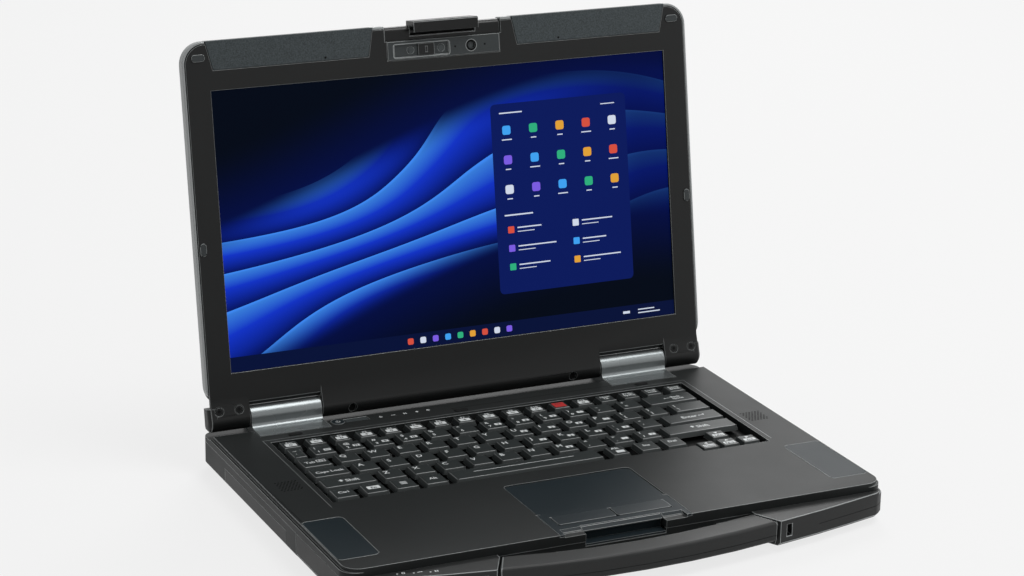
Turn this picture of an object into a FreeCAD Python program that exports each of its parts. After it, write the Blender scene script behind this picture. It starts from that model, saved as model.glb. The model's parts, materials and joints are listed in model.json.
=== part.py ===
"""Semi-rugged 14 inch laptop computer with a carrying handle, opened to about 100 degrees.

Millimetres, +Z up, +X to the user's right, +Y from the user towards the hinge.
The origin is the middle of the footprint, on the surface that the rubber feet stand on.
Heights are counted from that surface. Depths (y) are counted from the deck's front edge, and the
Placement of each sub-part moves them to the origin.
The lid's pieces are drawn flat, about the hinge axis: local +X to the right, +Y from the hinge to the
lid's top edge, +Z the way the screen faces. Their Placement turns them up to the open angle.
"""

import FreeCAD
import Part
import Sketcher

import math
import os
import re

DOC = FreeCAD.newDocument("Laptop")
SHEET = DOC.addObject("Spreadsheet::Sheet", "Sizes")

SIZES = {
    # the whole
    "origin_y": 123.5,  # deck's front edge to the middle of the footprint
    "case_w": 345.0,  # widest, over the side walls
    "case_d": 241.0,  # deck's front edge to the rear wall
    "deck_h": 25.0,  # top of the deck
    "foot_h": 1.0,  # rubber foot below the bottom shell
    "gap": 0.3,  # clearance between neighbouring pieces
    "shaft_gap": 0.05,  # radial running clearance of shafts and pins
    # shells
    "wall": 2.4,  # side wall of the bottom shell
    "floor": 1.8,  # bottom skin
    "skin": 2.6,  # top skin of the deck
    "top_h": 6.5,  # height of the top shell's rim
    "ledge_in": 1.5,  # the deck's edge stands in from the side wall
    "ledge_h": 2.4,  # height of that upper edge
    "corner_r": 10.0,  # corners of the base in plan
    "edge_cut": 0.8,  # bevel round the deck
    "keel_cut": 4.0,  # bevel along the bottom edges of the base
    "shelf_y": 221.0,  # where the deck starts to fall towards the hinge
    "shelf_run": 3.0,  # length of that slope
    "shelf_h": 22.0,  # height of the shelf under the hinge barrels
    # keyboard
    "bay_half": 142.0,  # half width of the keyboard opening
    "bay_front": 95.0,
    "bay_rear": 198.8,
    "arrow_bay_x": 96.5,  # the opening reaches further forward under the arrow keys
    "arrow_bay_front": 84.5,
    "plate_drop": 5.6,  # deck to the keyboard plate
    "plate_t": 1.2,
    "key_h": 3.2,
    "key_rise": 0.4,  # key tops above the deck
    "key_slope": 25.0,  # degrees, flanks of a key cap
    "key_r": 1.6,  # corner radius of a key cap at its foot
    "pitch": 19.0,
    "row_pitch": 17.4,
    "key_w": 16.0,  # width of a letter key at its foot
    "key_d": 15.8,
    "keys_left": -139.1,  # left foot edge of the outermost keys
    "keys_right": 138.2,
    "grave_left": -125.5,  # foot edge where the letter keys of each row begin
    "tab_left": -115.8,
    "caps_left": -111.0,
    "shift_left": -101.5,
    "space_right": 36.3,
    "alt_left": 41.0,
    "edit_left": 60.4,
    "edit_w": 15.0,
    "edit_pitch": 18.0,
    "row_y": 97.5,  # front foot edge of the row with the space bar
    "fkey_pitch": 16.56,
    "fkey_w": 13.2,
    "fkey_d": 12.6,
    "fkey_front": 184.0,
    "arrow_w": 13.2,
    "arrow_d": 12.6,
    "arrow_pitch": 14.1,
    "arrow_x": 103.5,  # centre of the left arrow key
    "arrow_front": 86.5,
    "arrow_gap": 1.4,
    "stem_w": 4.0,
    # palm rest
    "pad_half": 41.3,
    "pad_front": 31.7,
    "pad_rear": 79.1,
    "pad_drop": 0.5,
    "inlay_t": 1.2,
    "inlay_r": 3.2,
    "button_plate_half": 42.0,
    "button_plate_rear": 31.4,
    "button_front": 13.6,
    "button_rear": 25.4,
    "button_half": 36.2,
    "button_split": 3.0,
    "button_t": 3.0,
    "button_r": 1.5,
    "palm_in": 145.3,
    "palm_out": 170.2,
    "palm_front": 15.5,
    "palm_rear": 73.3,
    "oval_pad_y": 206.6,
    "oval_w": 9.0,
    "oval_d": 3.6,
    "oval_r": 1.6,
    "oval_t": 0.5,
    "power_x": -91.0,
    "power_y": 216.4,
    "power_r": 4.3,
    "power_h": 25.2,
    "window_x": -78.5,  # status window beside the power button
    "window_y": 216.6,
    "window_w": 15.0,
    "window_d": 4.6,
    "window_h": 24.9,
    # latch and its catch
    "catch_half": 25.8,
    "catch_d": 8.4,
    "catch_h": 8.0,
    "catch_t": 1.2,
    "strip_y": 4.9,
    "step_half": 39.0,  # the deck steps down at the middle of the front
    "step_y": 4.7,
    "step_h": 1.8,
    "step_top": 7.4,
    "strip_t": 2.7,
    "hook_half": 22.0,
    "hook_y": 229.0,  # pivot, from the hinge axis
    "hook_z": 0.8,
    "hook_barrel_r": 3.0,
    "hook_pin_r": 1.25,
    "hook_t": 1.8,
    "hook_arm_t": 3.0,
    "hook_out": 11.0,  # front face of the hook's lip, above the lid's mid plane
    "hook_lip": 228.4,  # tip of the lip
    "recess_half": 39.6,
    "recess_y": 223.4,
    # lid
    "lid_angle": 80.2,  # the open lid, from lying flat
    "axis_y": 232.9,
    "axis_h": 31.0,
    "lid_w": 343.4,
    "lid_top": 233.0,
    "lid_back": 2.5,  # outer skin behind the hinge axis
    "lid_face": 5.0,  # bezel face in front of the hinge axis
    "lid_r": 14.0,
    "lid_skin": 1.3,
    "lid_rim": 1.6,
    "lid_foot": 12.8,  # lower edge of the lid beside the hinge cowls
    "bezel_t": 1.6,
    "screen_w": 309.4,
    "screen_d": 174.0,
    "screen_y": 28.8,
    "panel_lap": 5.0,
    "panel_t": 3.6,
    "roll_half": 97.0,
    "roll_r": 7.2,
    "lobe_face": 6.3,
    "screw_r": 2.4,
    "screw_hole_r": 2.85,
    "screw_sink": 1.3,  # depth of the hole that a screw's head lies in
    "screw_y": 6.2,
    "screw_out": 164.6,
    "screw_in": 151.7,
    "plug_x": 77.0,  # round holes in the roll
    "plug_y": -2.7,
    "plug_r": 2.75,
    "plug_deep": 2.4,
    "lobe_round": 3.5,
    "knuckle_r": 3.3,
    "bumper_t": 0.7,
    "bumper_r": 1.9,
    "lobe_in": 144.8,
    "shaft_r": 3.0,
    "shaft_in": 84.0,
    "shaft_out": 158.0,
    "antenna_y": 215.4,
    "antenna_in": 51.0,
    "antenna_out": 154.0,
    "camera_half": 38.1,
    "camera_y": 211.7,
    "camera_top": 223.2,
    "camera_rise": 0.4,
    "shutter_w": 11.0,
    "shutter_d": 7.4,
    "shutter_x": -12.0,
    "window_left": -33.5,
    "window_right": 3.0,
    "lens_y": 217.1,
    "lens_r": 2.2,
    "shutter_t": 0.8,
    # hinge cowls
    "cowl_in": 97.7,
    "cowl_out": 144.2,
    "cowl_y": 210.6,
    "cowl_lip": 0.3,
    "cowl_r": 6.9,  # barrel of the cowl
    "cowl_cove": 3.2,  # hollow between the barrel and the foot
    "notch_y": 7.4,  # lower edge of the lid over the cowls
    "cowl_seat": 20.3,
    # handle and corner guards
    "grip_half": 80.0,
    "grip_front_half": 88.0,
    "grip_front": 27.7,
    "grip_front_end": 19.7,
    "grip_rear": 12.4,
    "grip_rear_end": 3.9,
    "grip_top": 20.0,
    "grip_bottom": 7.4,
    "grip_edge": 2.2,
    "arm_x": 66.0,
    "arm_w": 14.0,
    "arm_t": 5.0,
    "arm_in": 52.0,
    "arm_root": 16.0,
    "arm_h": 13.0,
    "board_left": -64.0,
    "board_end": 22.5,  # the mainboard stops short of the right side
    "board_front": 92.0,
    "board_rear": 205.0,
    "board_h": 14.2,
    "board_t": 1.4,
    "boss": 5.0,
    "guard_y": 75.0,
    "guard_t": 4.2,
    "guard_bottom": 4.2,
    "guard_cut": 1.6,
    "tether_x": 95.0,
    "tether_w": 3.6,
    "tether_y": 13.0,
    # bays and ports
    "battery_front": 92.0,
    "battery_rear": 196.0,
    "battery_in": -70.0,
    "battery_bottom": 3.2,
    "battery_top": 13.6,
    "module_front": 84.0,
    "module_rear": 150.0,
    "module_in": 88.0,
    "latch_travel": 4.0,
    "port_h": 11.8,
    "port_half": 3.4,
    "port_deep": 14.0,
    "jack_r": 1.8,
    "inlet_x": 150.0,
    "inlet_r": 3.2,
    "latch_w": 16.0,
    "latch_d": 5.0,
    "fan_x": -110.0,
    "fan_y": 218.0,
    "fan_r": 15.0,
    "fan_bottom": 3.1,
    "fan_h": 11.0,
    "pin_r": 1.5,
}

for row, (alias, size) in enumerate(SIZES.items(), start=1):
    SHEET.set(f"A{row}", alias)
    SHEET.set(f"B{row}", str(size))
    SHEET.setAlias(f"B{row}", alias)
DOC.recompute()

WORD = re.compile("[a-z][a-z_]*[a-z]")
NODES = []


def size(alias):
    """The value that the sheet holds."""
    return float(getattr(SHEET, alias))


def linked(text):
    """An expression on the sheet's cells, from one that names the sizes alone."""
    return WORD.sub(lambda found: f"Sizes.{found.group()}" if found.group() in SIZES else found.group(), str(text))


def bind(item, prop, text):
    item.setExpression(prop, linked(text))


def settled(item, label):
    """A primitive keeps its own place, so it is wrapped before it gets the sub-part's Placement."""
    return together(label, [item]) if item.TypeId in ("Part::Box", "Part::Cylinder") else item


def stand(item, label):
    """Names a sub-part of the base and moves it to the origin."""
    item = settled(item, label)
    item.Label = label
    bind(item, "Placement.Base.y", "-origin_y")
    NODES.append(item)


def hang(item, label):
    """Names a sub-part of the lid and turns it up about the hinge axis."""
    item = settled(item, label)
    item.Label = label
    place = "create(<<vector>>; 0; axis_y - origin_y; axis_h)"
    turn = "create(<<rotation>>; create(<<vector>>; 1; 0; 0); lid_angle)"
    bind(item, "Placement", f"create(<<placement>>; {place}; {turn})")
    NODES.append(item)


def fresh(name):
    """An object name that isn't taken yet."""
    count = 1
    while DOC.getObject(f"{name}_{count}"):
        count += 1
    return f"{name}_{count}"


# Solids from primitives


def block(name, x, y, z):
    """A box between two expressions on each axis."""
    item = DOC.addObject("Part::Box", fresh(name))
    for prop, axis, (low, high) in zip(("Length", "Width", "Height"), "xyz", (x, y, z)):
        bind(item, f"Placement.Base.{axis}", low)
        bind(item, prop, f"({high}) - ({low})")
    return item


def rod(name, x, y, z, radius):
    """A round bar along X between two expressions."""
    item = DOC.addObject("Part::Cylinder", fresh(name))
    item.Placement.Rotation = FreeCAD.Rotation(FreeCAD.Vector(0, 1, 0), 90)
    bind(item, "Radius", radius)
    bind(item, "Height", f"({x[1]}) - ({x[0]})")
    bind(item, "Placement.Base.x", x[0])
    bind(item, "Placement.Base.y", y)
    bind(item, "Placement.Base.z", z)
    return item


def disc(name, x, y, z, radius):
    """A round bar along Z between two expressions."""
    item = DOC.addObject("Part::Cylinder", fresh(name))
    bind(item, "Radius", radius)
    bind(item, "Height", f"({z[1]}) - ({z[0]})")
    bind(item, "Placement.Base.x", x)
    bind(item, "Placement.Base.y", y)
    bind(item, "Placement.Base.z", z[0])
    return item


def fuse(name, items):
    item = DOC.addObject("Part::MultiFuse", fresh(name))
    item.Shapes = items
    return item


def together(name, items):
    """Separate solids kept side by side."""
    item = DOC.addObject("Part::Compound", fresh(name))
    item.Links = items
    return item


def cut(name, base, tools):
    item = DOC.addObject("Part::Cut", fresh(name))
    item.Base = base
    item.Tool = tools[0] if len(tools) == 1 else fuse(f"{name}_tools", tools)
    return item


def softened(name, base, radius, wanted):
    """Fillets the edges that a test picks."""
    DOC.recompute()
    item = DOC.addObject("Part::Fillet", fresh(name))
    item.Base = base
    picked = [number for number, edge in enumerate(base.Shape.Edges, start=1) if wanted(edge, base.Shape.BoundBox)]
    item.Edges = [(number, size(radius), size(radius)) for number in picked]
    return item


def bevelled(name, base, width, wanted):
    """Cuts a flat on the edges that a test picks, as wide as a sum of sizes."""
    DOC.recompute()
    item = DOC.addObject("Part::Chamfer", fresh(name))
    item.Base = base
    picked = [number for number, edge in enumerate(base.Shape.Edges, start=1) if wanted(edge, base.Shape.BoundBox)]
    reach = float(base.evalExpression(linked(width)))
    item.Edges = [(number, reach, reach) for number in picked]
    return item


# Bodies from sketches


def origin_plane(body, role):
    return next(item for item in body.Origin.OriginFeatures if item.Role == role)


def new_body(name):
    body = DOC.addObject("PartDesign::Body", fresh(name))
    body.AllowCompound = True
    return body


def new_sketch(body, role, offset):
    """A sketch on one of the body's own origin planes, moved along its normal."""
    sketch = body.newObject("Sketcher::SketchObject", fresh("sketch"))
    sketch.AttachmentSupport = [(origin_plane(body, role), "")]
    sketch.MapMode = "FlatFace"
    bind(sketch, "AttachmentOffset.Base.z", offset)
    return sketch


def hold(sketch, wanted):
    """Fixes points of a sketch, given as (edge, point, across, along), at expressions from its origin."""
    rules = []
    texts = []
    for edge, point, across, along in wanted:
        for kind, text in (("DistanceX", across), ("DistanceY", along)):
            if text is not None:
                rules.append(Sketcher.Constraint(kind, -1, 1, edge, point, 1.0))
                texts.append(text)
    first = sketch.ConstraintCount
    sketch.addConstraint(rules)
    for number, text in enumerate(texts, start=first):
        bind(sketch, f"Constraints[{number}]", text)


def outline(sketch, corners):
    """A closed outline of straight edges through corners given as pairs of expressions."""
    count = len(corners)
    start = sketch.GeometryCount
    turn = 2 * math.pi / count
    ring = [FreeCAD.Vector(math.cos(turn * i), math.sin(turn * i), 0) for i in range(count)]
    sketch.addGeometry([Part.LineSegment(ring[i], ring[(i + 1) % count]) for i in range(count)])
    joints = [(start + i, start + (i + 1) % count) for i in range(count)]
    sketch.addConstraint([Sketcher.Constraint("Coincident", one, 2, other, 1) for one, other in joints])
    hold(sketch, [(start + i, 1, across, along) for i, (across, along) in enumerate(corners)])


def rounded(sketch, x, y, radius):
    """A rectangle with round corners between two expressions on each axis."""
    low_x, high_x = f"{x[0]} + ({radius})", f"{x[1]} - ({radius})"
    low_y, high_y = f"{y[0]} + ({radius})", f"{y[1]} - ({radius})"
    ends = [(low_x, y[0]), (high_x, y[0]), (x[1], low_y), (x[1], high_y),
            (high_x, y[1]), (low_x, y[1]), (x[0], high_y), (x[0], low_y)]
    centres = [(high_x, -90), (high_x, 0), (low_x, 90), (low_x, 180)]
    spots = [(-1, -2), (1, -2), (2, -1), (2, 1), (1, 2), (-1, 2), (-2, 1), (-2, -1)]
    points = [FreeCAD.Vector(*spot, 0) for spot in spots]
    start = sketch.GeometryCount
    edges = []
    for i in range(4):
        edges.append(Part.LineSegment(points[2 * i], points[2 * i + 1]))
        angle = math.radians(centres[i][1])
        middle = FreeCAD.Vector(*[(1, -1), (1, 1), (-1, 1), (-1, -1)][i], 0)
        ring = Part.Circle(middle, FreeCAD.Vector(0, 0, 1), 1)
        edges.append(Part.ArcOfCircle(ring, angle, angle + math.pi / 2))
    sketch.addGeometry(edges)
    joints = []
    for i in range(4):
        line, arc = start + 2 * i, start + 2 * i + 1
        joints.append(Sketcher.Constraint("Coincident", line, 2, arc, 1))
        joints.append(Sketcher.Constraint("Coincident", arc, 2, start + (2 * i + 2) % 8, 1))
    sketch.addConstraint(joints)
    held = []
    for i in range(4):
        held.append((start + 2 * i, 1, *ends[2 * i]))
        held.append((start + 2 * i, 2, *ends[2 * i + 1]))
        held.append((start + 2 * i + 1, 3, centres[i][0], None))
    hold(sketch, held)


def circle(sketch, x, y, radius):
    ring = sketch.addGeometry(Part.Circle(FreeCAD.Vector(1, 1, 0), FreeCAD.Vector(0, 0, 1), 1))
    hold(sketch, [(ring, 3, x, y)])
    number = sketch.addConstraint(Sketcher.Constraint("Radius", ring, 1.0))
    bind(sketch, f"Constraints[{number}]", radius)


def pad(body, sketch, length, taper=None):
    item = body.newObject("PartDesign::Pad", fresh("pad"))
    item.Profile = sketch
    bind(item, "Length", length)
    if taper:
        bind(item, "TaperAngle", taper)
    return item


def pocket(body, sketch, depth):
    """Cuts from the sketch against its normal."""
    item = body.newObject("PartDesign::Pocket", fresh("pocket"))
    item.Profile = sketch
    bind(item, "Length", depth)
    return item


def dress(body, kind, prop, value, wanted):
    """A fillet or chamfer on the edges of the body so far that a test picks."""
    DOC.recompute()
    base = body.Tip
    picked = [f"Edge{n}" for n, edge in enumerate(base.Shape.Edges, start=1) if wanted(edge, base.Shape.BoundBox)]
    item = body.newObject(f"PartDesign::{kind}", fresh(kind.lower()))
    item.Base = (base, picked)
    bind(item, prop, value)
    return item


def pad_plan(body, z, shapes, taper=None):
    """Pads plan outlines upwards between two heights."""
    sketch = new_sketch(body, "XY_Plane", z[0])
    for corners in shapes:
        outline(sketch, corners)
    return pad(body, sketch, f"({z[1]}) - ({z[0]})", taper)


def pocket_plan(body, z, shapes):
    """Cuts plan outlines downwards from the higher height to the lower."""
    sketch = new_sketch(body, "XY_Plane", z[1])
    for corners in shapes:
        outline(sketch, corners)
    return pocket(body, sketch, f"({z[1]}) - ({z[0]})")


def pad_rounded(body, z, x, y, radius, taper=None):
    """Pads a rectangle with round corners upwards between two heights."""
    sketch = new_sketch(body, "XY_Plane", z[0])
    rounded(sketch, x, y, radius)
    return pad(body, sketch, f"({z[1]}) - ({z[0]})", taper)


def pocket_rounded(body, z, x, y, radius):
    sketch = new_sketch(body, "XY_Plane", z[1])
    rounded(sketch, x, y, radius)
    return pocket(body, sketch, f"({z[1]}) - ({z[0]})")


def in_line(body, originals, step, count):
    """Repeats features along +X."""
    item = body.newObject("PartDesign::LinearPattern", fresh("line"))
    item.Originals = originals
    item.Direction = (originals[0].Profile[0], ["H_Axis"])
    item.Mode = "Spacing"
    item.Occurrences = count
    bind(item, "Offset", step)
    body.Tip = item
    return item


def pad_side(body, x, corners):
    """Pads an outline in Y and Z along X."""
    sketch = new_sketch(body, "YZ_Plane", x[0])
    outline(sketch, corners)
    return pad(body, sketch, f"({x[1]}) - ({x[0]})")


def pocket_side(body, x, corners):
    sketch = new_sketch(body, "YZ_Plane", x[1])
    outline(sketch, corners)
    return pocket(body, sketch, f"({x[1]}) - ({x[0]})")


def box_corners(x, y):
    return [(x[0], y[0]), (x[1], y[0]), (x[1], y[1]), (x[0], y[1])]


def mirrored(corners):
    """The same outline on the other side of the middle plane."""
    return [(f"-({x})", y) for x, y in reversed(corners)]


def sided(side, low, high):
    """A span along X on the right (1) or mirrored to the left (-1)."""
    return (low, high) if side > 0 else (f"-({high})", f"-({low})")


def is_upright(edge):
    """A straight edge along Z."""
    ends = [vertex.Point for vertex in edge.Vertexes]
    if len(ends) != 2:
        return False
    run = ends[1] - ends[0]
    return abs(run.z) > 1e-6 and math.hypot(run.x, run.y) < 1e-6


def at_corner(edge, box):
    """An upright edge at a corner of the bounding box."""
    place = edge.CenterOfMass
    off_x = min(abs(place.x - box.XMin), abs(place.x - box.XMax))
    off_y = min(abs(place.y - box.YMin), abs(place.y - box.YMax))
    return is_upright(edge) and off_x < 1e-3 and off_y < 1e-3


def lies_at(edge, height):
    return all(abs(vertex.Z - height) < 1e-4 for vertex in edge.Vertexes)


# Front and rear edge of each port on the right side
PORTS = {
    "audio_jack": ("156.0", "163.0"),
    "usb_ports": ("166.0", "196.0"),
    "hdmi_port": ("199.0", "215.0"),
    "lan_port": ("218.0", "233.0"),
}


# Base shells


def make_bottom_case():
    """Tray with a flat floor, bevelled keel, slots for the handle's arms and bays in both sides."""
    body = new_body("bottom_case")
    side = ("-case_w / 2", "case_w / 2")
    depth = ("gap", "case_d")
    pad_rounded(body, ("foot_h", "deck_h - top_h - gap / 3"), side, depth, "corner_r")
    dress(body, "Chamfer", "Size", "keel_cut", lambda edge, box: lies_at(edge, box.ZMin))
    inside_x = ("-case_w / 2 + wall + guard_t", "case_w / 2 - wall - guard_t")
    inside_y = ("gap + wall", "case_d - wall")
    pocket_plan(body, ("foot_h + floor", "deck_h"), [box_corners(inside_x, inside_y)])
    make_guard_seats(body)
    make_side_openings(body)
    make_arm_slots(body)
    make_bosses(body)
    pocket_plan(body, ("foot_h - gap", "foot_h + floor"), latch_slots())
    make_rear_openings(body)
    stand(body, "bottom_case")


def make_guard_seats(body):
    """The front of each side wall stands back to carry the corner guard."""
    for side in (1, -1):
        across = sided(side, "case_w / 2 - guard_t - gap", "case_w / 2 + gap")
        pocket_plan(body, ("guard_bottom - gap", "deck_h"), [box_corners(across, ("-gap", "guard_y + gap"))])


def make_side_openings(body):
    """Mouths of the battery bay on the left and of the module bay and ports on the right."""
    left = ("-case_w / 2 - gap", "-case_w / 2 + wall + guard_t + gap")
    right = ("case_w / 2 - wall - guard_t - gap", "case_w / 2 + gap")
    battery = ("battery_front - gap", "battery_rear + gap")
    module = ("module_front - gap", "module_rear + gap")
    height = ("battery_bottom - gap", "battery_top + gap")
    pocket_plan(body, height, [box_corners(left, battery)])
    pocket_plan(body, height, [box_corners(right, module)])
    for front, rear in PORTS.values():
        tall = ("port_h - port_half - gap / 3", "port_h + port_half + gap / 3")
        pocket_plan(body, tall, [box_corners(right, (f"{front} - gap / 3", f"{rear} + gap / 3"))])


def make_rear_openings(body):
    """Holes of the power inlet and of the exhaust grille in the rear wall."""
    deep = ("case_d - wall - gap", "case_d + gap")
    inlet = box_corners(("inlet_x - 5 - gap / 3", "inlet_x + 5 + gap / 3"), deep)
    grille = box_corners(("fan_x - fan_r - gap / 3", "fan_x + fan_r + gap / 3"), deep)
    pocket_plan(body, ("port_h - 5 - gap / 3", "port_h + 5 + gap / 3"), [inlet])
    pocket_plan(body, ("fan_bottom + 2 - gap / 3", "fan_bottom + fan_h + gap / 3"), [grille])


def make_arm_slots(body):
    """Openings in the front wall for the arms of the carrying handle."""
    for side in (1, -1):
        across = sided(side, "arm_x - arm_w / 2 - gap", "arm_x + arm_w / 2 + gap")
        height = ("arm_h - arm_t / 2 - gap", "arm_h + arm_t / 2 + gap")
        pocket_plan(body, height, [box_corners(across, ("-gap", "wall + 2 * gap"))])
    catch = box_corners(("-catch_half", "catch_half"), ("-gap", "catch_d"))
    pocket_plan(body, ("deck_h - catch_h - catch_t - gap", "deck_h"), [catch])


def make_bosses(body):
    """Posts on the floor that carry the mainboard, and rails under the handle's arms."""
    places = [
        ("board_left + boss", "board_front + boss"),
        ("module_in - 2 * boss", "board_front + boss"),
        ("board_left + boss", "board_rear - boss"),
        ("case_w / 2 - board_end - boss", "board_rear - boss"),
    ]
    posts = [box_corners((f"{x} - boss / 2", f"{x} + boss / 2"), (f"{y} - boss / 2", f"{y} + boss / 2"))
             for x, y in places]
    pad_plan(body, ("foot_h + floor / 2", "board_h - gap / 3"), posts)
    rails = [box_corners(sided(side, "arm_x - arm_w / 2", "arm_x + arm_w / 2"), ("gap + wall / 2", "arm_in + boss"))
             for side in (1, -1)]
    pad_plan(body, ("foot_h + floor / 2", "arm_h - arm_t / 2 - gap"), rails)


def make_top_case():
    """Deck with its rim, the keyboard opening, the palm rest's recesses and the fall to the hinge."""
    body = new_body("top_case")
    pad_rounded(body, ("deck_h - top_h", "deck_h - ledge_h"), ("-case_w / 2", "case_w / 2"), ("0", "case_d"), "corner_r")
    upper = ("-case_w / 2 + ledge_in", "case_w / 2 - ledge_in")
    pad_rounded(body, ("deck_h - top_h", "deck_h"), upper, ("0", "case_d - ledge_in"), "corner_r")
    shelf = [
        ("shelf_y", "deck_h"),
        ("shelf_y + shelf_run", "shelf_h"),
        ("case_d + gap", "shelf_h - 1"),
        ("case_d + gap", "deck_h + gap"),
        ("shelf_y", "deck_h + gap"),
    ]
    pocket_side(body, ("-case_w / 2 - gap", "case_w / 2 + gap"), shelf)
    make_keyboard_opening(body)
    make_hollows(body)
    make_palm_rest_recesses(body)
    make_cowl_seats(body)
    make_small_deck_holes(body)
    pocket_side(body, ("-step_half", "step_half"), front_step())
    stand(body, "top_case")


def front_step():
    """Section of the cut that lowers the middle of the front in a slanted step."""
    return [
        ("-gap", "deck_h - step_h"),
        ("step_y", "deck_h - step_h"),
        ("step_top", "deck_h"),
        ("step_top", "deck_h + gap"),
        ("-gap", "deck_h + gap"),
    ]


def make_keyboard_opening(body):
    """A through opening, with a bay that reaches forward for the arrow keys."""
    corners = [
        ("-bay_half", "bay_front"),
        ("arrow_bay_x", "bay_front"),
        ("arrow_bay_x", "arrow_bay_front"),
        ("bay_half", "arrow_bay_front"),
        ("bay_half", "bay_rear"),
        ("-bay_half", "bay_rear"),
    ]
    pocket_plan(body, ("deck_h - top_h - gap", "deck_h + gap"), [corners])


def make_hollows(body):
    """The deck is a skin over the palm rest and beside the keyboard, with a rim round it."""
    low = "deck_h - top_h - gap"
    palm = box_corners(("-case_w / 2 + 2 * wall", "case_w / 2 - 2 * wall"), ("catch_d + wall", "arrow_bay_front - wall"))
    shapes = [palm]
    for side in (1, -1):
        across = sided(side, "bay_half + wall", "case_w / 2 - 2 * wall")
        shapes.append(box_corners(across, ("arrow_bay_front + wall", "bay_rear")))
    pocket_plan(body, (low, "deck_h - skin"), shapes)


def make_palm_rest_recesses(body):
    """Seats of the touch pad, the palm covers and the button plate, and the notch for the lid's hook."""
    seat = "deck_h - inlay_t - gap / 3"
    for side in (1, -1):
        x = sided(side, "palm_in - gap", "palm_out + gap")
        pocket_rounded(body, (seat, "deck_h + gap"), x, ("palm_front - gap", "palm_rear + gap"), "inlay_r + gap")
    x, y = ("-pad_half - gap", "pad_half + gap"), ("pad_front - gap", "pad_rear + gap")
    pocket_rounded(body, (f"{seat} - pad_drop", "deck_h + gap"), x, y, "inlay_r + gap")
    plate = box_corners(("-button_plate_half - gap", "button_plate_half + gap"), ("-gap", "button_plate_rear + gap"))
    pocket_plan(body, ("deck_h - inlay_t - gap / 3", "deck_h + gap"), [plate])
    buttons = box_corners(
        ("-button_half - gap", "button_half + gap"), ("button_front - gap", "button_rear + gap"))
    pocket_plan(body, ("deck_h - top_h", "deck_h"), [buttons])
    notch = box_corners(("-catch_half", "catch_half"), ("-gap", "catch_d"))
    pocket_plan(body, ("deck_h - top_h - gap", "deck_h + gap"), [notch])


def make_cowl_seats(body):
    """Steps in the rear edge that carry the two hinge cowls."""
    shapes = [box_corners(sided(side, "cowl_in - gap", "cowl_out + gap"), ("cowl_y - gap", "case_d + gap"))
              for side in (1, -1)]
    pocket_plan(body, ("cowl_seat - gap / 3", "deck_h + gap"), shapes)


def make_small_deck_holes(body):
    """Holes of the power button and of the status window, and shallow seats of the oval rubber pads."""
    sketch = new_sketch(body, "XY_Plane", "deck_h + gap")
    circle(sketch, "power_x", "power_y", "power_r + gap")
    pocket(body, sketch, "top_h + 3 * gap")
    window = box_corners(("window_x - window_w / 2 - gap", "window_x + window_w / 2 + gap"),
                         ("window_y - window_d / 2 - gap", "window_y + window_d / 2 + gap"))
    pocket_plan(body, ("window_h - inlay_t - gap / 3", "deck_h + gap"), [window])


# Keyboard


def make_keyboard_plate():
    """Plate under the keys, with a square guide hole for each key's stem."""
    body = new_body("keyboard_plate")
    corners = [
        ("-bay_half + gap", "bay_front + gap"),
        ("arrow_bay_x + gap", "bay_front + gap"),
        ("arrow_bay_x + gap", "arrow_bay_front + gap"),
        ("bay_half - gap", "arrow_bay_front + gap"),
        ("bay_half - gap", "bay_rear - gap"),
        ("-bay_half + gap", "bay_rear - gap"),
    ]
    height = ("deck_h - plate_drop - plate_t", "deck_h - plate_drop")
    pad_plan(body, height, [corners])
    for run, others in KEY_ROWS.values():
        if run:
            foot, step, count = run
            hole = pocket_plan(body, height, [stem_corners(foot, "stem_w / 2 + gap")])
            in_line(body, [hole], step, count)
        if others:
            pocket_plan(body, height, [stem_corners(foot, "stem_w / 2 + gap") for foot in others])
    stand(body, "keyboard_plate")


def stem_corners(foot, half):
    """A square about the middle of a key."""
    (left, right), (front, rear) = foot
    middle_x = f"(({left}) + ({right})) / 2"
    middle_y = f"(({front}) + ({rear})) / 2"
    return box_corners((f"{middle_x} - ({half})", f"{middle_x} + ({half})"),
                       (f"{middle_y} - ({half})", f"{middle_y} + ({half})"))


def row_span(number):
    """Front and rear foot edges of a row, counted from the row with the space bar."""
    front = f"row_y + {number} * row_pitch"
    return front, f"{front} + key_d"


def letter_row(number, first, count):
    """Letter keys on the pitch, with a wide key at the left end and another up to the right end."""
    depth = row_span(number)
    left = ("keys_left", f"{first} - (pitch - key_w)")
    right = (f"{first} + {count} * pitch", "keys_right")
    return (((first, f"{first} + key_w"), depth), "pitch", count), [(left, depth), (right, depth)]


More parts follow.
